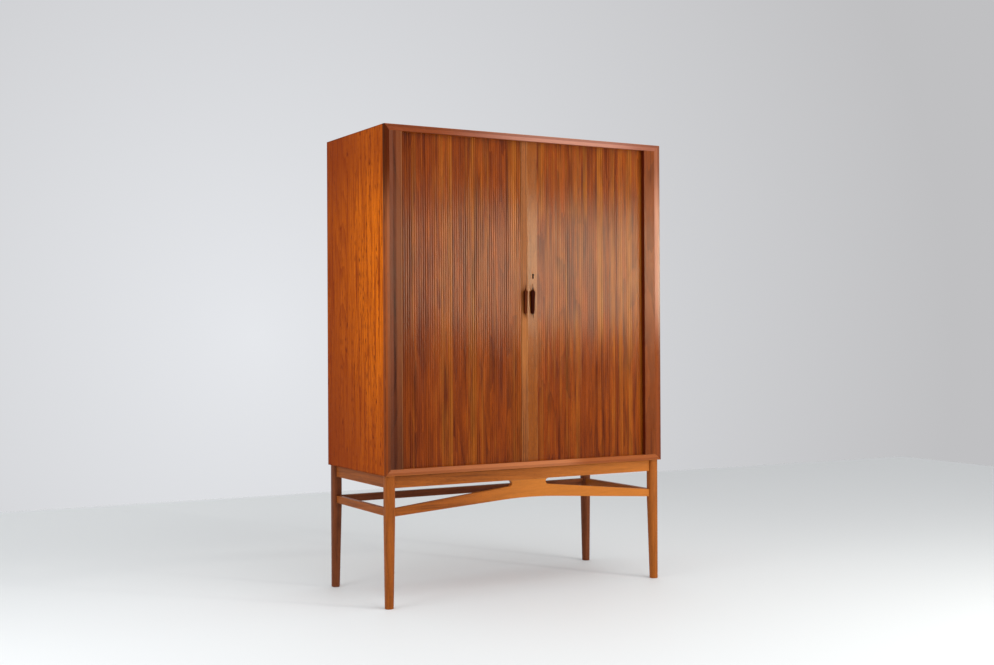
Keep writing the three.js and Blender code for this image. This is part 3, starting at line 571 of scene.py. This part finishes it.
def makeBackScrews(look):
    draws = random.Random(look["seed"])
    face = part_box("back_panel")[1].y
    middles = [(side * look["sideX"], z) for side in (-1, 1) for z in look["sideZ"]]
    middles += [(x, z) for z in look["edgeZ"] for x in look["edgeX"]]
    radius, steps = look["radius"], look["turns"]
    lean = math.asin(look["slotHalf"] / radius)
    arc = [lean + (math.pi - 2 * lean) * step / steps for step in range(steps + 1)]
    circle = [math.tau * step / steps for step in range(steps)]
    head = ((0, radius), (look["height"], look["taper"] * radius))
    floor = [(height, look["floorShare"] * radius) for height in (0, look["slotFloor"])]
    points, faces = [], []
    for x, z in middles:
        slotTurn = draws.uniform(0, math.pi)
        for half in (slotTurn, slotTurn + math.pi):  # the slot parts the head into two halves
            addDisc(points, faces, (x, face, z), [half + turn for turn in arc], head)
        addDisc(points, faces, (x, face, z), circle, floor)
    piece = newPiece("back_screws", points, faces, steelMaterial)
    faceOut(piece)
    standFor(piece, "cabinet", "steel")


makeBackScrews(backScrews)
print("back screws made")


# Base: solid legs and rails with rounded edges

baseTeak = caseTeak | {
    "pale": "#a0561e", "deep": "#6c3510", "dark": "#3d170a", "wearAndHighlightTone": "#ac6d38",
    "ringCount": 40.0, "rings": 0.3, "streaks": 0.5, "flecks": 0.2, "fleckSize": (0.004, 0.02),
    "roughness": 0.42, "specular": 0.09, "wearAndHighlight": 0.3, "wearAndHighlightWidth": 0.004, "edge": 0.0016,
    "tints": [("#d98436", [(0, -0.35, 0.5, 0.0, 0.12)])],  # painted light: paler towards the right, where more light falls
}
frontWoods = {  # the front apron and stretcher get more of the painted light, paler still towards the right
    "front_apron": baseTeak | {"tints": [("#d98436", [(0, -0.35, 0.5, 0.0, 0.36)])]},
    "front_arch_stretcher": baseTeak | {"tints": [("#e08c38", [(0, -0.35, 0.1, 0.0, 0.38)])]},
}
backWood = baseTeak | {"pale": "#7c4224", "deep": "#562c18", "tints": []}  # darker behind: partly the wood's tone, partly painted shade where the back parts sit under the case
baseParts = {f"{row}_{side}_leg": "z" for row in ("front", "back") for side in ("left", "right")}
baseParts |= {name: "x" for name in ("front_apron", "back_apron", "front_arch_stretcher", "back_stretcher")}
baseParts |= {f"{side}_{rail}": "y" for side in ("left", "right") for rail in ("side_rail", "side_stretcher")}
for seed, (name, along) in enumerate(baseParts.items(), firstSeeds["base"]):
    look = backWood if name.startswith("back") else frontWoods.get(name, baseTeak)
    dressWood(name, look, along, seed)
print("base dressed")


# Leading stiles: pale straight-grained wood

stileTeak = caseTeak | {
    "pale": "#904a10", "deep": "#683206", "dark": "#43200e", "wearAndHighlightTone": "#ad7440",
    "ringCount": 10.0, "rings": 0.25, "streaks": 0.45, "flecks": 0.3, "fleckSize": (0.002, 0.02),
    "patches": 0.6, "patchSize": (0.006, 0.09),
    "roughness": 0.18, "specular": 0.215, "wearAndHighlight": 0.35, "edge": 0.0007,
}
stiles = {
    "left_leading_stile": stileTeak | {
        "pale": "#9a5624", "deep": "#6b3512", "streaks": 0.8, "roughness": 0.36, "specular": 0.11,
        "lines": [
            (-0.0208, 0.0012, 0.9, "#3a1407"), (-0.0125, 0.0009, 0.5, "#4a2008"),
            (-0.0050, 0.0012, 0.9, "#3a1407"),
        ],
        "tints": [("#b86e2c", [(2, 0.68, 0.82, 0.0, 0.35), (2, 0.92, 1.0, 1.0, 0.0)])],
    },
    "right_leading_stile": stileTeak,
}
for seed, (name, look) in enumerate(stiles.items(), firstSeeds["stiles"]):
    dressWood(name, look, "z", seed)
print("stiles dressed")


# Tambour curtains: slats with rounded edges on canvas, cut side by side from boards of differing tone

doorSides = {"left": -1, "right": 1}
slats = {
    "pitch": 0.0084, "thick": 0.0062, "canvas": 0.0008, "slit": 0.0002, "wideSlit": 0.0012,
    "openShare": {"left": 0.2, "right": 0.08},  # of the joints between slats, how many have opened
    "round": {"left": (0.0004, 0.0011), "right": (0.0002, 0.0008)},
    "roundSteps": 4, "crown": 0.0002, "lean": 0.35, "sink": 0.0002,
    "boardSlats": (1, 6), "boardTone": 0.13, "slatTone": 0.09, "slip": 0.02,
    "boardHue": 0.35, "slatHue": 0.15,
    "boardPlace": 40, "number": 900,  # upper limits of the draws for a board's figure and a slat's bow
    "levels": 15, "levelTone": 0.13,  # how often a tone may change along a slat, and by how much
}
# Tones that stand out on each door, and painted sheen: distance from the middle of the cabinet, how far it
# reaches, tone, and between which heights
doorTonesAndSheen = {
    "left": [
        (0.445, 0.030, -0.35, 0.4, 1.6), (0.294, 0.018, 0.15, 0.4, 1.6), (0.278, 0.015, -0.3, 1.2, 1.6),
        (0.390, 0.012, -0.3, 0.4, 1.6), (0.206, 0.016, 0.13, 0.4, 1.6), (0.150, 0.018, -0.25, 0.4, 1.0),
        (0.040, 0.032, 0.18, 1.1, 1.6), (0.025, 0.030, 0.15, 0.4, 1.6),
    ],
    "right": [
        (0.054, 0.022, 0.25, 1.3, 1.6), (0.038, 0.030, -0.35, 0.95, 1.3), (0.165, 0.050, -0.25, 0.95, 1.3),
        (0.228, 0.022, 0.4, 1.3, 1.6), (0.116, 0.016, -0.25, 0.4, 0.9), (0.225, 0.016, -0.2, 0.5, 1.0),
        (0.290, 0.024, 0.4, 0.9, 1.6), (0.290, 0.024, 0.15, 0.4, 0.9), (0.349, 0.016, 0.2, 0.4, 1.6),
        # the last two rows, which span the whole right door, are painted sheen at the heights where it
        # mirrors the lamps
        (0.384, 0.016, 0.22, 0.4, 1.6), (0.419, 0.020, 0.3, 0.4, 1.6), (0.040, 0.44, 0.06, 1.3, 1.7),
        (0.040, 0.44, 0.1, 0.8, 1.25),
    ],
}
# Joints that have opened for certain, by their distance from the middle of the cabinet
doorSlits = {"left": (0.390, 0.398, 0.212, 0.221, 0.198), "right": (0.161, 0.170, 0.343, 0.377)}
track = {"bendX": 0.484, "bendY": -0.175, "canvasRadius": 0.0368, "tailSlats": 3}
slatTeak = caseTeak | {
    "pale": "#90400a", "deep": "#571f05", "dark": "#321004", "honey": "#b0691c", "smoke": "#501a07",
    "olive": "#84490c", "ruddy": "#802c0a", "hueShare": 0.3,
    "ringCount": 22.0, "rings": 0.42, "streaks": 0.55, "flecks": 0.35, "fleckSize": (0.004, 0.03),
    "patches": 1.35, "patchSize": (0.016, 0.17),
    "roughness": 0.185, "specular": 0.14, "relief": 0.00004, "bow": (0.35, 0.003),
}


def makeSlatMaterial(name, look):
    material, tree, shader = newMaterial(name)
    vector = addNode(tree, "Attribute", attribute_name="grainPlace").outputs["Vector"]
    # slatTone holds each slat's tone and the door's painted sheen
    tone = addNode(tree, "Attribute", attribute_name="slatTone").outputs["Fac"]
    color, height = woodColor(tree, look, vector)
    color = blendColor(tree, calc(tree, "MAXIMUM", tone, 0.0), color, fromHex(look["honey"]))
    darker = calc(tree, "MAXIMUM", calc(tree, "MULTIPLY", tone, -1.0), 0.0)
    color = blendColor(tree, darker, color, fromHex(look["smoke"]))
    hue = addNode(tree, "Attribute", attribute_name="slatHue").outputs["Fac"]
    for way, tint in ((1.0, "olive"), (-1.0, "ruddy")):
        share = calc(tree, "MAXIMUM", calc(tree, "MULTIPLY", hue, way * look["hueShare"]), 0.0)
        color = blendColor(tree, share, color, fromHex(look[tint]))
    number = addNode(tree, "Attribute", attribute_name="slatNumber").outputs["Fac"]
    length, rise = look["bow"]
    up = addNode(tree, "SeparateXYZ", {0: vector}).outputs["Z"]
    upright = addNode(tree, "CombineXYZ", {0: number, 2: calc(tree, "DIVIDE", up, length)}).outputs[0]
    swing = addNode(tree, "TexNoise", {"Vector": upright, "Scale": 1.0, "Detail": 0.0}).outputs[0]
    bow = calc(tree, "MULTIPLY", swing, rise / look["relief"])  # no slat is quite straight
    finishWood(tree, shader, look, vector, color, height, bow)
    return material


canvasLook = {"pale": "#6b5741", "deep": "#463626", "thread": 0.0009, "roughness": 0.85, "relief": 0.0001}


def makeCanvasMaterial(look):
    material, tree, shader = newMaterial("canvas", Roughness=look["roughness"])
    place = addNode(tree, "TexCoord").outputs["Object"]
    x, y, z = addNode(tree, "SeparateXYZ", {0: place}).outputs
    angle = 2 * math.pi / look["thread"]
    warp = calc(tree, "SINE", calc(tree, "MULTIPLY", calc(tree, "ADD", x, y), angle))
    weft = calc(tree, "SINE", calc(tree, "MULTIPLY", z, angle))
    weave = calc(tree, "MULTIPLY_ADD", calc(tree, "MULTIPLY", warp, weft), 0.5, 0.5)  # from 0 to 1
    color = blendColor(tree, weave, fromHex(look["deep"]), fromHex(look["pale"]))
    bump = addNode(tree, "Bump", {"Height": weave, "Distance": look["relief"], "Strength": 1.0})
    tree.links.new(color, shader.inputs["Base Color"])
    tree.links.new(bump.outputs["Normal"], shader.inputs["Normal"])
    return material


slatMaterial = makeSlatMaterial("slatTeak", slatTeak)
canvasMaterial = makeCanvasMaterial(canvasLook)


def slatProfile(width, radius, look):  # along the curtain and out of it, from one foot round to the other
    half, top = width / 2, look["thick"]
    steps = look["roundSteps"]
    turns = [math.pi / 2 * step / steps for step in range(steps + 1)]
    shoulder = top - look["crown"] - radius
    right = [(half - radius + radius * math.cos(turn), shoulder + radius * math.sin(turn)) for turn in turns]
    return [(half, 0), *right, (0, top), *[(-x, y) for x, y in reversed(right)], (-half, 0)]


def curtainPoint(side, distance):  # on the canvas's front face, with the way along and out of the curtain
    radius = track["canvasRadius"]
    round90 = radius * math.pi / 2
    turn = min(max(distance - track["bendX"], 0), round90) / radius
    beyond = max(distance - track["bendX"] - round90, 0)
    x = min(distance, track["bendX"]) + radius * math.sin(turn)
    point = Vector((side * x, track["bendY"] - radius * math.cos(turn) + beyond))
    along = Vector((side * math.cos(turn), math.sin(turn)))
    out = Vector((side * math.sin(turn), -math.cos(turn)))
    return point, along, out


def slatCentres(start, end, pitch):
    count = round((end - start) / pitch)
    step = (end - start) / count
    return [start + (number + 0.5) * step for number in range(count)], step


def doorToneAndSheen(named, distance, height):
    return sum(
        tone for start, reach, tone, low, high in doorTonesAndSheen[named]
        if start <= distance < start + reach and low <= height <= high
    )


def drawBoard(look, draws):  # the slats cut from one board share its tone, its hue and its figure
    return {
        "slats": draws.randint(*look["boardSlats"]),
        "tone": draws.uniform(-look["boardTone"], look["boardTone"]),
        "hue": draws.uniform(-look["boardHue"], look["boardHue"]),
        "place": draws.uniform(0, look["boardPlace"]),
    }


def addSlat(shape, named, board, centre, step, heights, look, draws):
    ownTone = board["tone"] + draws.uniform(-look["slatTone"], look["slatTone"])
    joint = centre + step / 2
    opened = draws.random() < look["openShare"][named]
    opened = opened or any(abs(joint - at) < step / 2 for at in doorSlits[named])
    width = step - look["wideSlit" if opened else "slit"]
    profile = slatProfile(width, draws.uniform(*look["round"][named]), look)
    lean = math.tan(math.radians(draws.uniform(-look["lean"], look["lean"])))
    sink = draws.uniform(0, look["sink"])
    slip = draws.uniform(-look["slip"], look["slip"])
    number = draws.uniform(0, look["number"])
    hue = board["hue"] + draws.uniform(-look["slatHue"], look["slatHue"])
    point, along, out = curtainPoint(doorSides[named], centre)
    first, ring = len(shape["points"]), len(profile)
    for height in heights:
        levelTone = draws.uniform(-look["levelTone"], look["levelTone"])
        # the slat tone also carries the door's painted sheen
        shape["slatTone"] += [ownTone + levelTone + doorToneAndSheen(named, centre, height)] * ring
        shape["slatHue"] += [hue] * ring
        shape["slatNumber"] += [number] * ring
        for across, rise in profile:
            lifted = max(rise - sink + across * lean, 0) if rise else 0
            flat = point + along * across + out * lifted
            shape["points"].append((flat.x, flat.y, height))
            shape["grainPlace"].append((board["place"] + centre + across, rise, height + slip))
    shape["faces"] += tubeFaces(range(first, len(shape["points"]), ring), ring)


def addCanvas(shape, named, stops, low, high, look):
    points = []
    for stop in stops:
        front, along, out = curtainPoint(doorSides[named], stop)
        rear = front - out * look["canvas"]
        points += [(*front, low), (*front, high), (*rear, high), (*rear, low)]
    first = len(shape["points"])
    shape["points"] += points
    shape["faces"] += tubeFaces(range(first, len(shape["points"]), 4), 4)
    shape["grainPlace"] += [(0, 0, 0)] * len(points)
    for label in ("slatTone", "slatHue", "slatNumber"):
        shape[label] += [0] * len(points)


def makeTambour(name, named, runs, low, high, look, draws):
    shape = {label: [] for label in ("points", "faces", "slatTone", "slatHue", "slatNumber", "grainPlace")}
    heights = [low + (high - low) * level / (look["levels"] - 1) for level in range(look["levels"])]
    places = [(centre, step) for centres, step in runs for centre in centres]
    slatsLeft = 0
    for centre, step in places:
        if slatsLeft == 0:  # the next slat comes from another board
            board = drawBoard(look, draws)
            slatsLeft = board["slats"]
        slatsLeft -= 1
        addSlat(shape, named, board, centre, step, heights, look, draws)
    slatFaces = len(shape["faces"])
    centre, step = places[0]
    stops = sorted({centre - step / 2} | {centre + step / 2 for centre, step in places})
    addCanvas(shape, named, stops, low, high, look)

    piece = newPiece(name, shape["points"], shape["faces"], slatMaterial)
    piece.data.materials.append(canvasMaterial)
    slots = [int(face >= slatFaces) for face in range(len(shape["faces"]))]
    piece.data.polygons.foreach_set("material_index", slots)
    for label in ("slatTone", "slatHue", "slatNumber"):
        piece.data.attributes.new(label, "FLOAT", "POINT").data.foreach_set("value", shape[label])
    grain = piece.data.attributes.new("grainPlace", "FLOAT_VECTOR", "POINT")
    grain.data.foreach_set("vector", [value for place in shape["grainPlace"] for value in place])
    faceOut(piece)
    return piece


def makeDoorTambours(look):
    bendEnd = track["bendX"] + track["canvasRadius"] * math.pi / 2
    bend = slatCentres(track["bendX"] + look["slit"], bendEnd, look["pitch"])
    behind = [bendEnd + (number + 0.5) * look["pitch"] for number in range(track["tailSlats"])]
    tailRuns = [bend, (behind, look["pitch"])]
    for named, side in doorSides.items():
        draws = random.Random(f"{named} door slats")
        low, high = (corner.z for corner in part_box(f"{named}_curtain"))
        start = max(abs(corner.x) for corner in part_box(f"{named}_leading_stile")) + look["slit"]
        run = slatCentres(start, track["bendX"], look["pitch"])
        door = makeTambour(f"{named}_tambour", named, [run], low, high, look, draws)
        standFor(door, f"{named}_door", "slat_teak", f"{named}_curtain")
        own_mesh(door)
        tail = makeTambour(f"{named}_tambour_tail", named, tailRuns, low, high, look, draws)
        standFor(tail, "cabinet", "slat_teak", f"{named}_curtain_tail")


makeDoorTambours(slats)
print("tambours made")


# Pulls: carved dark wood, deeper on the outer side, with a thin tip at each end

pulls = {
    "middle": {"left": 0.0108, "right": 0.0175}, "halfWidth": 0.0077, "reach": 0.0105, "smoothing": 2,
    "stations": [  # height, width, rear and front as shares of the pull's, from the lower tip upwards
        (0.0, 0.04, 0.60, 0.68), (0.06, 0.10, 0.53, 0.71), (0.12, 0.16, 0.42, 0.75),
        (0.143, 0.22, 0.30, 0.80), (0.152, 0.62, 0.0, 0.72), (0.158, 0.72, 0.0, 0.74),
        (0.18, 0.74, 0.0, 0.75), (0.30, 0.79, 0.0, 0.80), (0.50, 0.88, 0.0, 0.89),
        (0.68, 0.97, 0.0, 0.98), (0.75, 1.0, 0.0, 1.0), (0.765, 0.98, 0.0, 0.99),
        (0.778, 0.80, 0.02, 0.95), (0.792, 0.48, 0.10, 0.91), (0.81, 0.24, 0.24, 0.85),
        (0.86, 0.15, 0.42, 0.75), (0.92, 0.09, 0.52, 0.71), (1.0, 0.04, 0.60, 0.68),
    ],
    "section": [  # across and out of the door, from the inner foot round to the outer one
        (-1.0, 0.0), (-1.0, 0.40), (-1.0, 0.68), (-0.92, 0.76), (-0.5, 0.81), (0.1, 0.88),
        (0.6, 0.96), (0.86, 1.0), (0.98, 0.96), (1.0, 0.86), (1.0, 0.45), (1.0, 0.0),
    ],
}
pullWood = caseTeak | {
    "pale": "#5c1c08", "deep": "#200602", "dark": "#0c0201", "wearAndHighlightTone": "#6e2e12",
    "ringCount": 60.0, "rings": 0.4, "streaks": 0.4, "flecks": 0.2, "fleckSize": (0.001, 0.008),
    "patches": 0.4, "patchSize": (0.003, 0.02),
    "roughness": 0.4, "specular": 0.02, "wearAndHighlight": 0.15,
}
# Both pulls are the same dark wood, painted as lit and shaded copies: the left one paler where it catches the
# light from the right, with painted shade on its outer face; the right one darker, painted shade as it faces
# away from that light
pullWoods = {
    "left": pullWood | {"pale": "#5c2306", "deep": "#361103", "lines": [(-0.0185, 0.0024, 0.9, "#2e0a03")]},
    "right": pullWood | {"pale": "#340800", "deep": "#190300"},
}


def makePull(named, side, look):
    low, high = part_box(f"{named}_pull")
    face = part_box(f"{named}_leading_stile")[0].y
    points = []
    for share, wide, rear, front in look["stations"]:
        for across, out in look["section"]:
            points.append((
                side * (look["middle"][named] + across * wide * look["halfWidth"]),
                face - (rear + out * (front - rear)) * look["reach"],
                low.z + share * (high.z - low.z),
            ))
    ring = len(look["section"])
    faces = tubeFaces(range(0, len(points), ring), ring)
    material = makeWood(f"{named}Pull", pullWoods[named], "z", firstSeeds["pulls"] + side, (low, high))
    piece = newPiece(f"{named}_carved_pull", points, faces, material)
    faceOut(piece)
    piece.modifiers.new("carved", "SUBSURF").render_levels = look["smoothing"]
    standFor(piece, f"{named}_door", "pull_wood", f"{named}_pull")


for doorName, doorSide in doorSides.items():
    makePull(doorName, doorSide, pulls)
print("pulls made")


# Keyhole: a thin iron liner with a narrow rim, in the hole of the right stile, coloured near black as painted
# shade of the deep hole

keyhole = {
    "middle": (0.022, 1.093), "radius": 0.0033, "slotHalf": 0.0018, "drop": 0.0124, "wall": 0.0004,
    "rim": 0.0007, "proud": 0.0002, "depth": 0.0085, "turns": 20,
}
# painted shade: the liner is near black so that the keyhole reads as a deep dark hole
paintedShadeIron = steel | {"bright": "#140a05", "dull": "#0a0502", "roughness": 0.6}


def keyholeOutline(look, inset):
    radius, half = look["radius"] - inset, look["slotHalf"] - inset
    start = math.asin(half / radius)
    outline = []
    for step in range(look["turns"] + 1):
        turn = -math.pi / 2 + start + (2 * math.pi - 2 * start) * step / look["turns"]
        outline.append((radius * math.cos(turn), radius * math.sin(turn)))
    outline += [(-half, inset - look["drop"]), (half, inset - look["drop"])]
    return outline


def makeKeyhole(look):
    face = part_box("right_leading_stile")[0].y
    middleX, middleZ = look["middle"]
    wall, rim, proud, depth = (look[part] for part in ("wall", "rim", "proud", "depth"))
    loops = [(0, depth), (0, 0), (-rim, 0), (-rim, -proud), (wall, -proud), (wall, depth)]
    points = []
    for inset, y in loops:
        points += [(middleX + x, face + y, middleZ + z) for x, z in keyholeOutline(look, inset)]
    ring = len(points) // len(loops)
    faces = sideFaces([*range(0, len(points), ring), 0], ring)  # the last loop joins the first
    piece = newPiece("keyhole_liner", points, faces, makeMetal("paintedShadeDarkIron", paintedShadeIron))
    faceOut(piece)
    standFor(piece, "right_door", "steel")


makeKeyhole(keyhole)
print("keyhole lined")


# Floor, light and background

stageLook = {
    "floor": "#e8ecee", "floorShadedRight": "#d6d9db", "awayRange": (-1.0, 2.4),  # painted shade: a little darker to the right
    "floorHalf": (4.82, 2.93), "floorFade": 0.08, "floorTurn": -2.4, "floorRoughness": 0.6,
    "wallBright": "#e6e8ec", "wallDim": "#c0c0c2",  # a lit wall at its brightest place and away from it
    "brightPlace": (0.33, 0.94, 0.0), "brightReach": 0.13,
    "light": 0.80,
}
lamps = {
    "key": {
        "place": (-2.6, -0.6, 1.3), "aim": (-0.5, 0.0, 1.0), "size": (1.3, 1.3), "power": 15,
        "color": (1, 1, 1),
    },
    "panel": {
        "place": (2.4, -2.72, 1.275), "aim": (2.15, 0.0, 1.24), "size": (3.0, 0.7), "power": 85,
        "color": (1, 0.96, 0.68), "diffuse": False,
    },
    "wide": {
        "place": (2.4, -2.72, 1.26), "aim": (2.15, 0.0, 1.24), "size": (3.0, 0.54), "power": 12,
        "color": (1, 0.98, 0.9), "glossy": False,
    },
    "side": {
        "place": (2.0, -3.0, 1.1), "aim": (0.3, 0.0, 0.5), "size": (0.1, 0.1), "power": 34,
        "color": (1, 0.98, 0.9), "glossy": False,
    },
    "top": {
        "place": (0.6, -2.8, 3.2), "aim": (0.3, -1.2, 0.2), "size": (2.4, 2.0), "power": 44,
        "color": (1, 1, 1),
    },
}


def makeFloor(look):
    halfX, halfY = look["floorHalf"]
    points = [(x * halfX, y * halfY, 0) for x, y in ((-1, -1), (1, -1), (1, 1), (-1, 1))]
    material, tree, shader = newMaterial("paleFloor", Roughness=look["floorRoughness"])
    place = addNode(tree, "TexCoord").outputs["Object"]
    away = fade(tree, addNode(tree, "SeparateXYZ", {0: place}).outputs["X"], *look["awayRange"])
    color = blendColor(tree, away, fromHex(look["floor"]), fromHex(look["floorShadedRight"]))
    tree.links.new(color, shader.inputs["Base Color"])
    x, y = addNode(tree, "SeparateXYZ", {0: calcVector(tree, "ABSOLUTE", place)}).outputs[:2]
    gone = [fade(tree, value, half - look["floorFade"], half) for value, half in ((x, halfX), (y, halfY))]
    clear = addNode(tree, "BsdfTransparent")
    beyond = calc(tree, "MAXIMUM", *gone)
    mixed = addNode(tree, "MixShader", {0: beyond, 1: shader.outputs[0], 2: clear.outputs[0]})
    tree.links.new(mixed.outputs[0], tree.nodes["Material Output"].inputs["Surface"])
    floor = newPiece("floor", points, [(0, 1, 2, 3)], material)
    floor.rotation_euler.z = math.radians(look["floorTurn"])  # its far edge lies a little askew


def makeWorld(look):
    world = bpy.data.worlds.new("studio")
    bpy.context.scene.world = world
    world.use_nodes = True
    tree = world.node_tree
    tree.nodes.clear()
    way = addNode(tree, "TexCoord").outputs["Generated"]
    bright = Vector(look["brightPlace"]).normalized()
    towards = addNode(tree, "VectorMath", {0: way, 1: bright}, operation="DOT_PRODUCT").outputs["Value"]
    aside = calc(tree, "DIVIDE", calc(tree, "SUBTRACT", 1.0, towards), look["brightReach"])
    aside = calc(tree, "SQRT", aside)
    seen = blendColor(tree, aside, fromHex(look["wallBright"]), fromHex(look["wallDim"]))
    paths = addNode(tree, "LightPath").outputs
    shows = calc(tree, "MAXIMUM", paths["Is Glossy Ray"], paths["Is Transmission Ray"])
    shows = calc(tree, "MAXIMUM", paths["Is Camera Ray"], shows)
    lit = addNode(tree, "Background", {"Color": (1, 1, 1, 1), "Strength": look["light"]})
    plain = addNode(tree, "Background", {"Color": seen, "Strength": 1.0})
    mixed = addNode(tree, "MixShader", {0: shows, 1: lit.outputs[0], 2: plain.outputs[0]})
    tree.links.new(mixed.outputs[0], addNode(tree, "OutputWorld").inputs["Surface"])


def makeLamp(name, look):
    lamp = bpy.data.objects.new(name, bpy.data.lights.new(name, "AREA"))
    bpy.context.scene.collection.objects.link(lamp)
    lamp.data.shape = "RECTANGLE"
    lamp.data.size, lamp.data.size_y = look["size"]
    lamp.data.energy = look["power"]
    lamp.data.color = look["color"]
    place = Vector(look["place"])
    turn = (place - Vector(look["aim"])).to_track_quat("Z", "Y")
    lamp.matrix_world = Matrix.Translation(place) @ turn.to_matrix().to_4x4()
    lamp.visible_camera = False
    lamp.visible_diffuse = look.get("diffuse", True)
    lamp.visible_glossy = look.get("glossy", True)


makeFloor(stageLook)
makeWorld(stageLook)
for lampName, lampLook in lamps.items():
    makeLamp(lampName, lampLook)
bpy.context.scene.view_settings.view_transform = "Standard"
print("stage made")
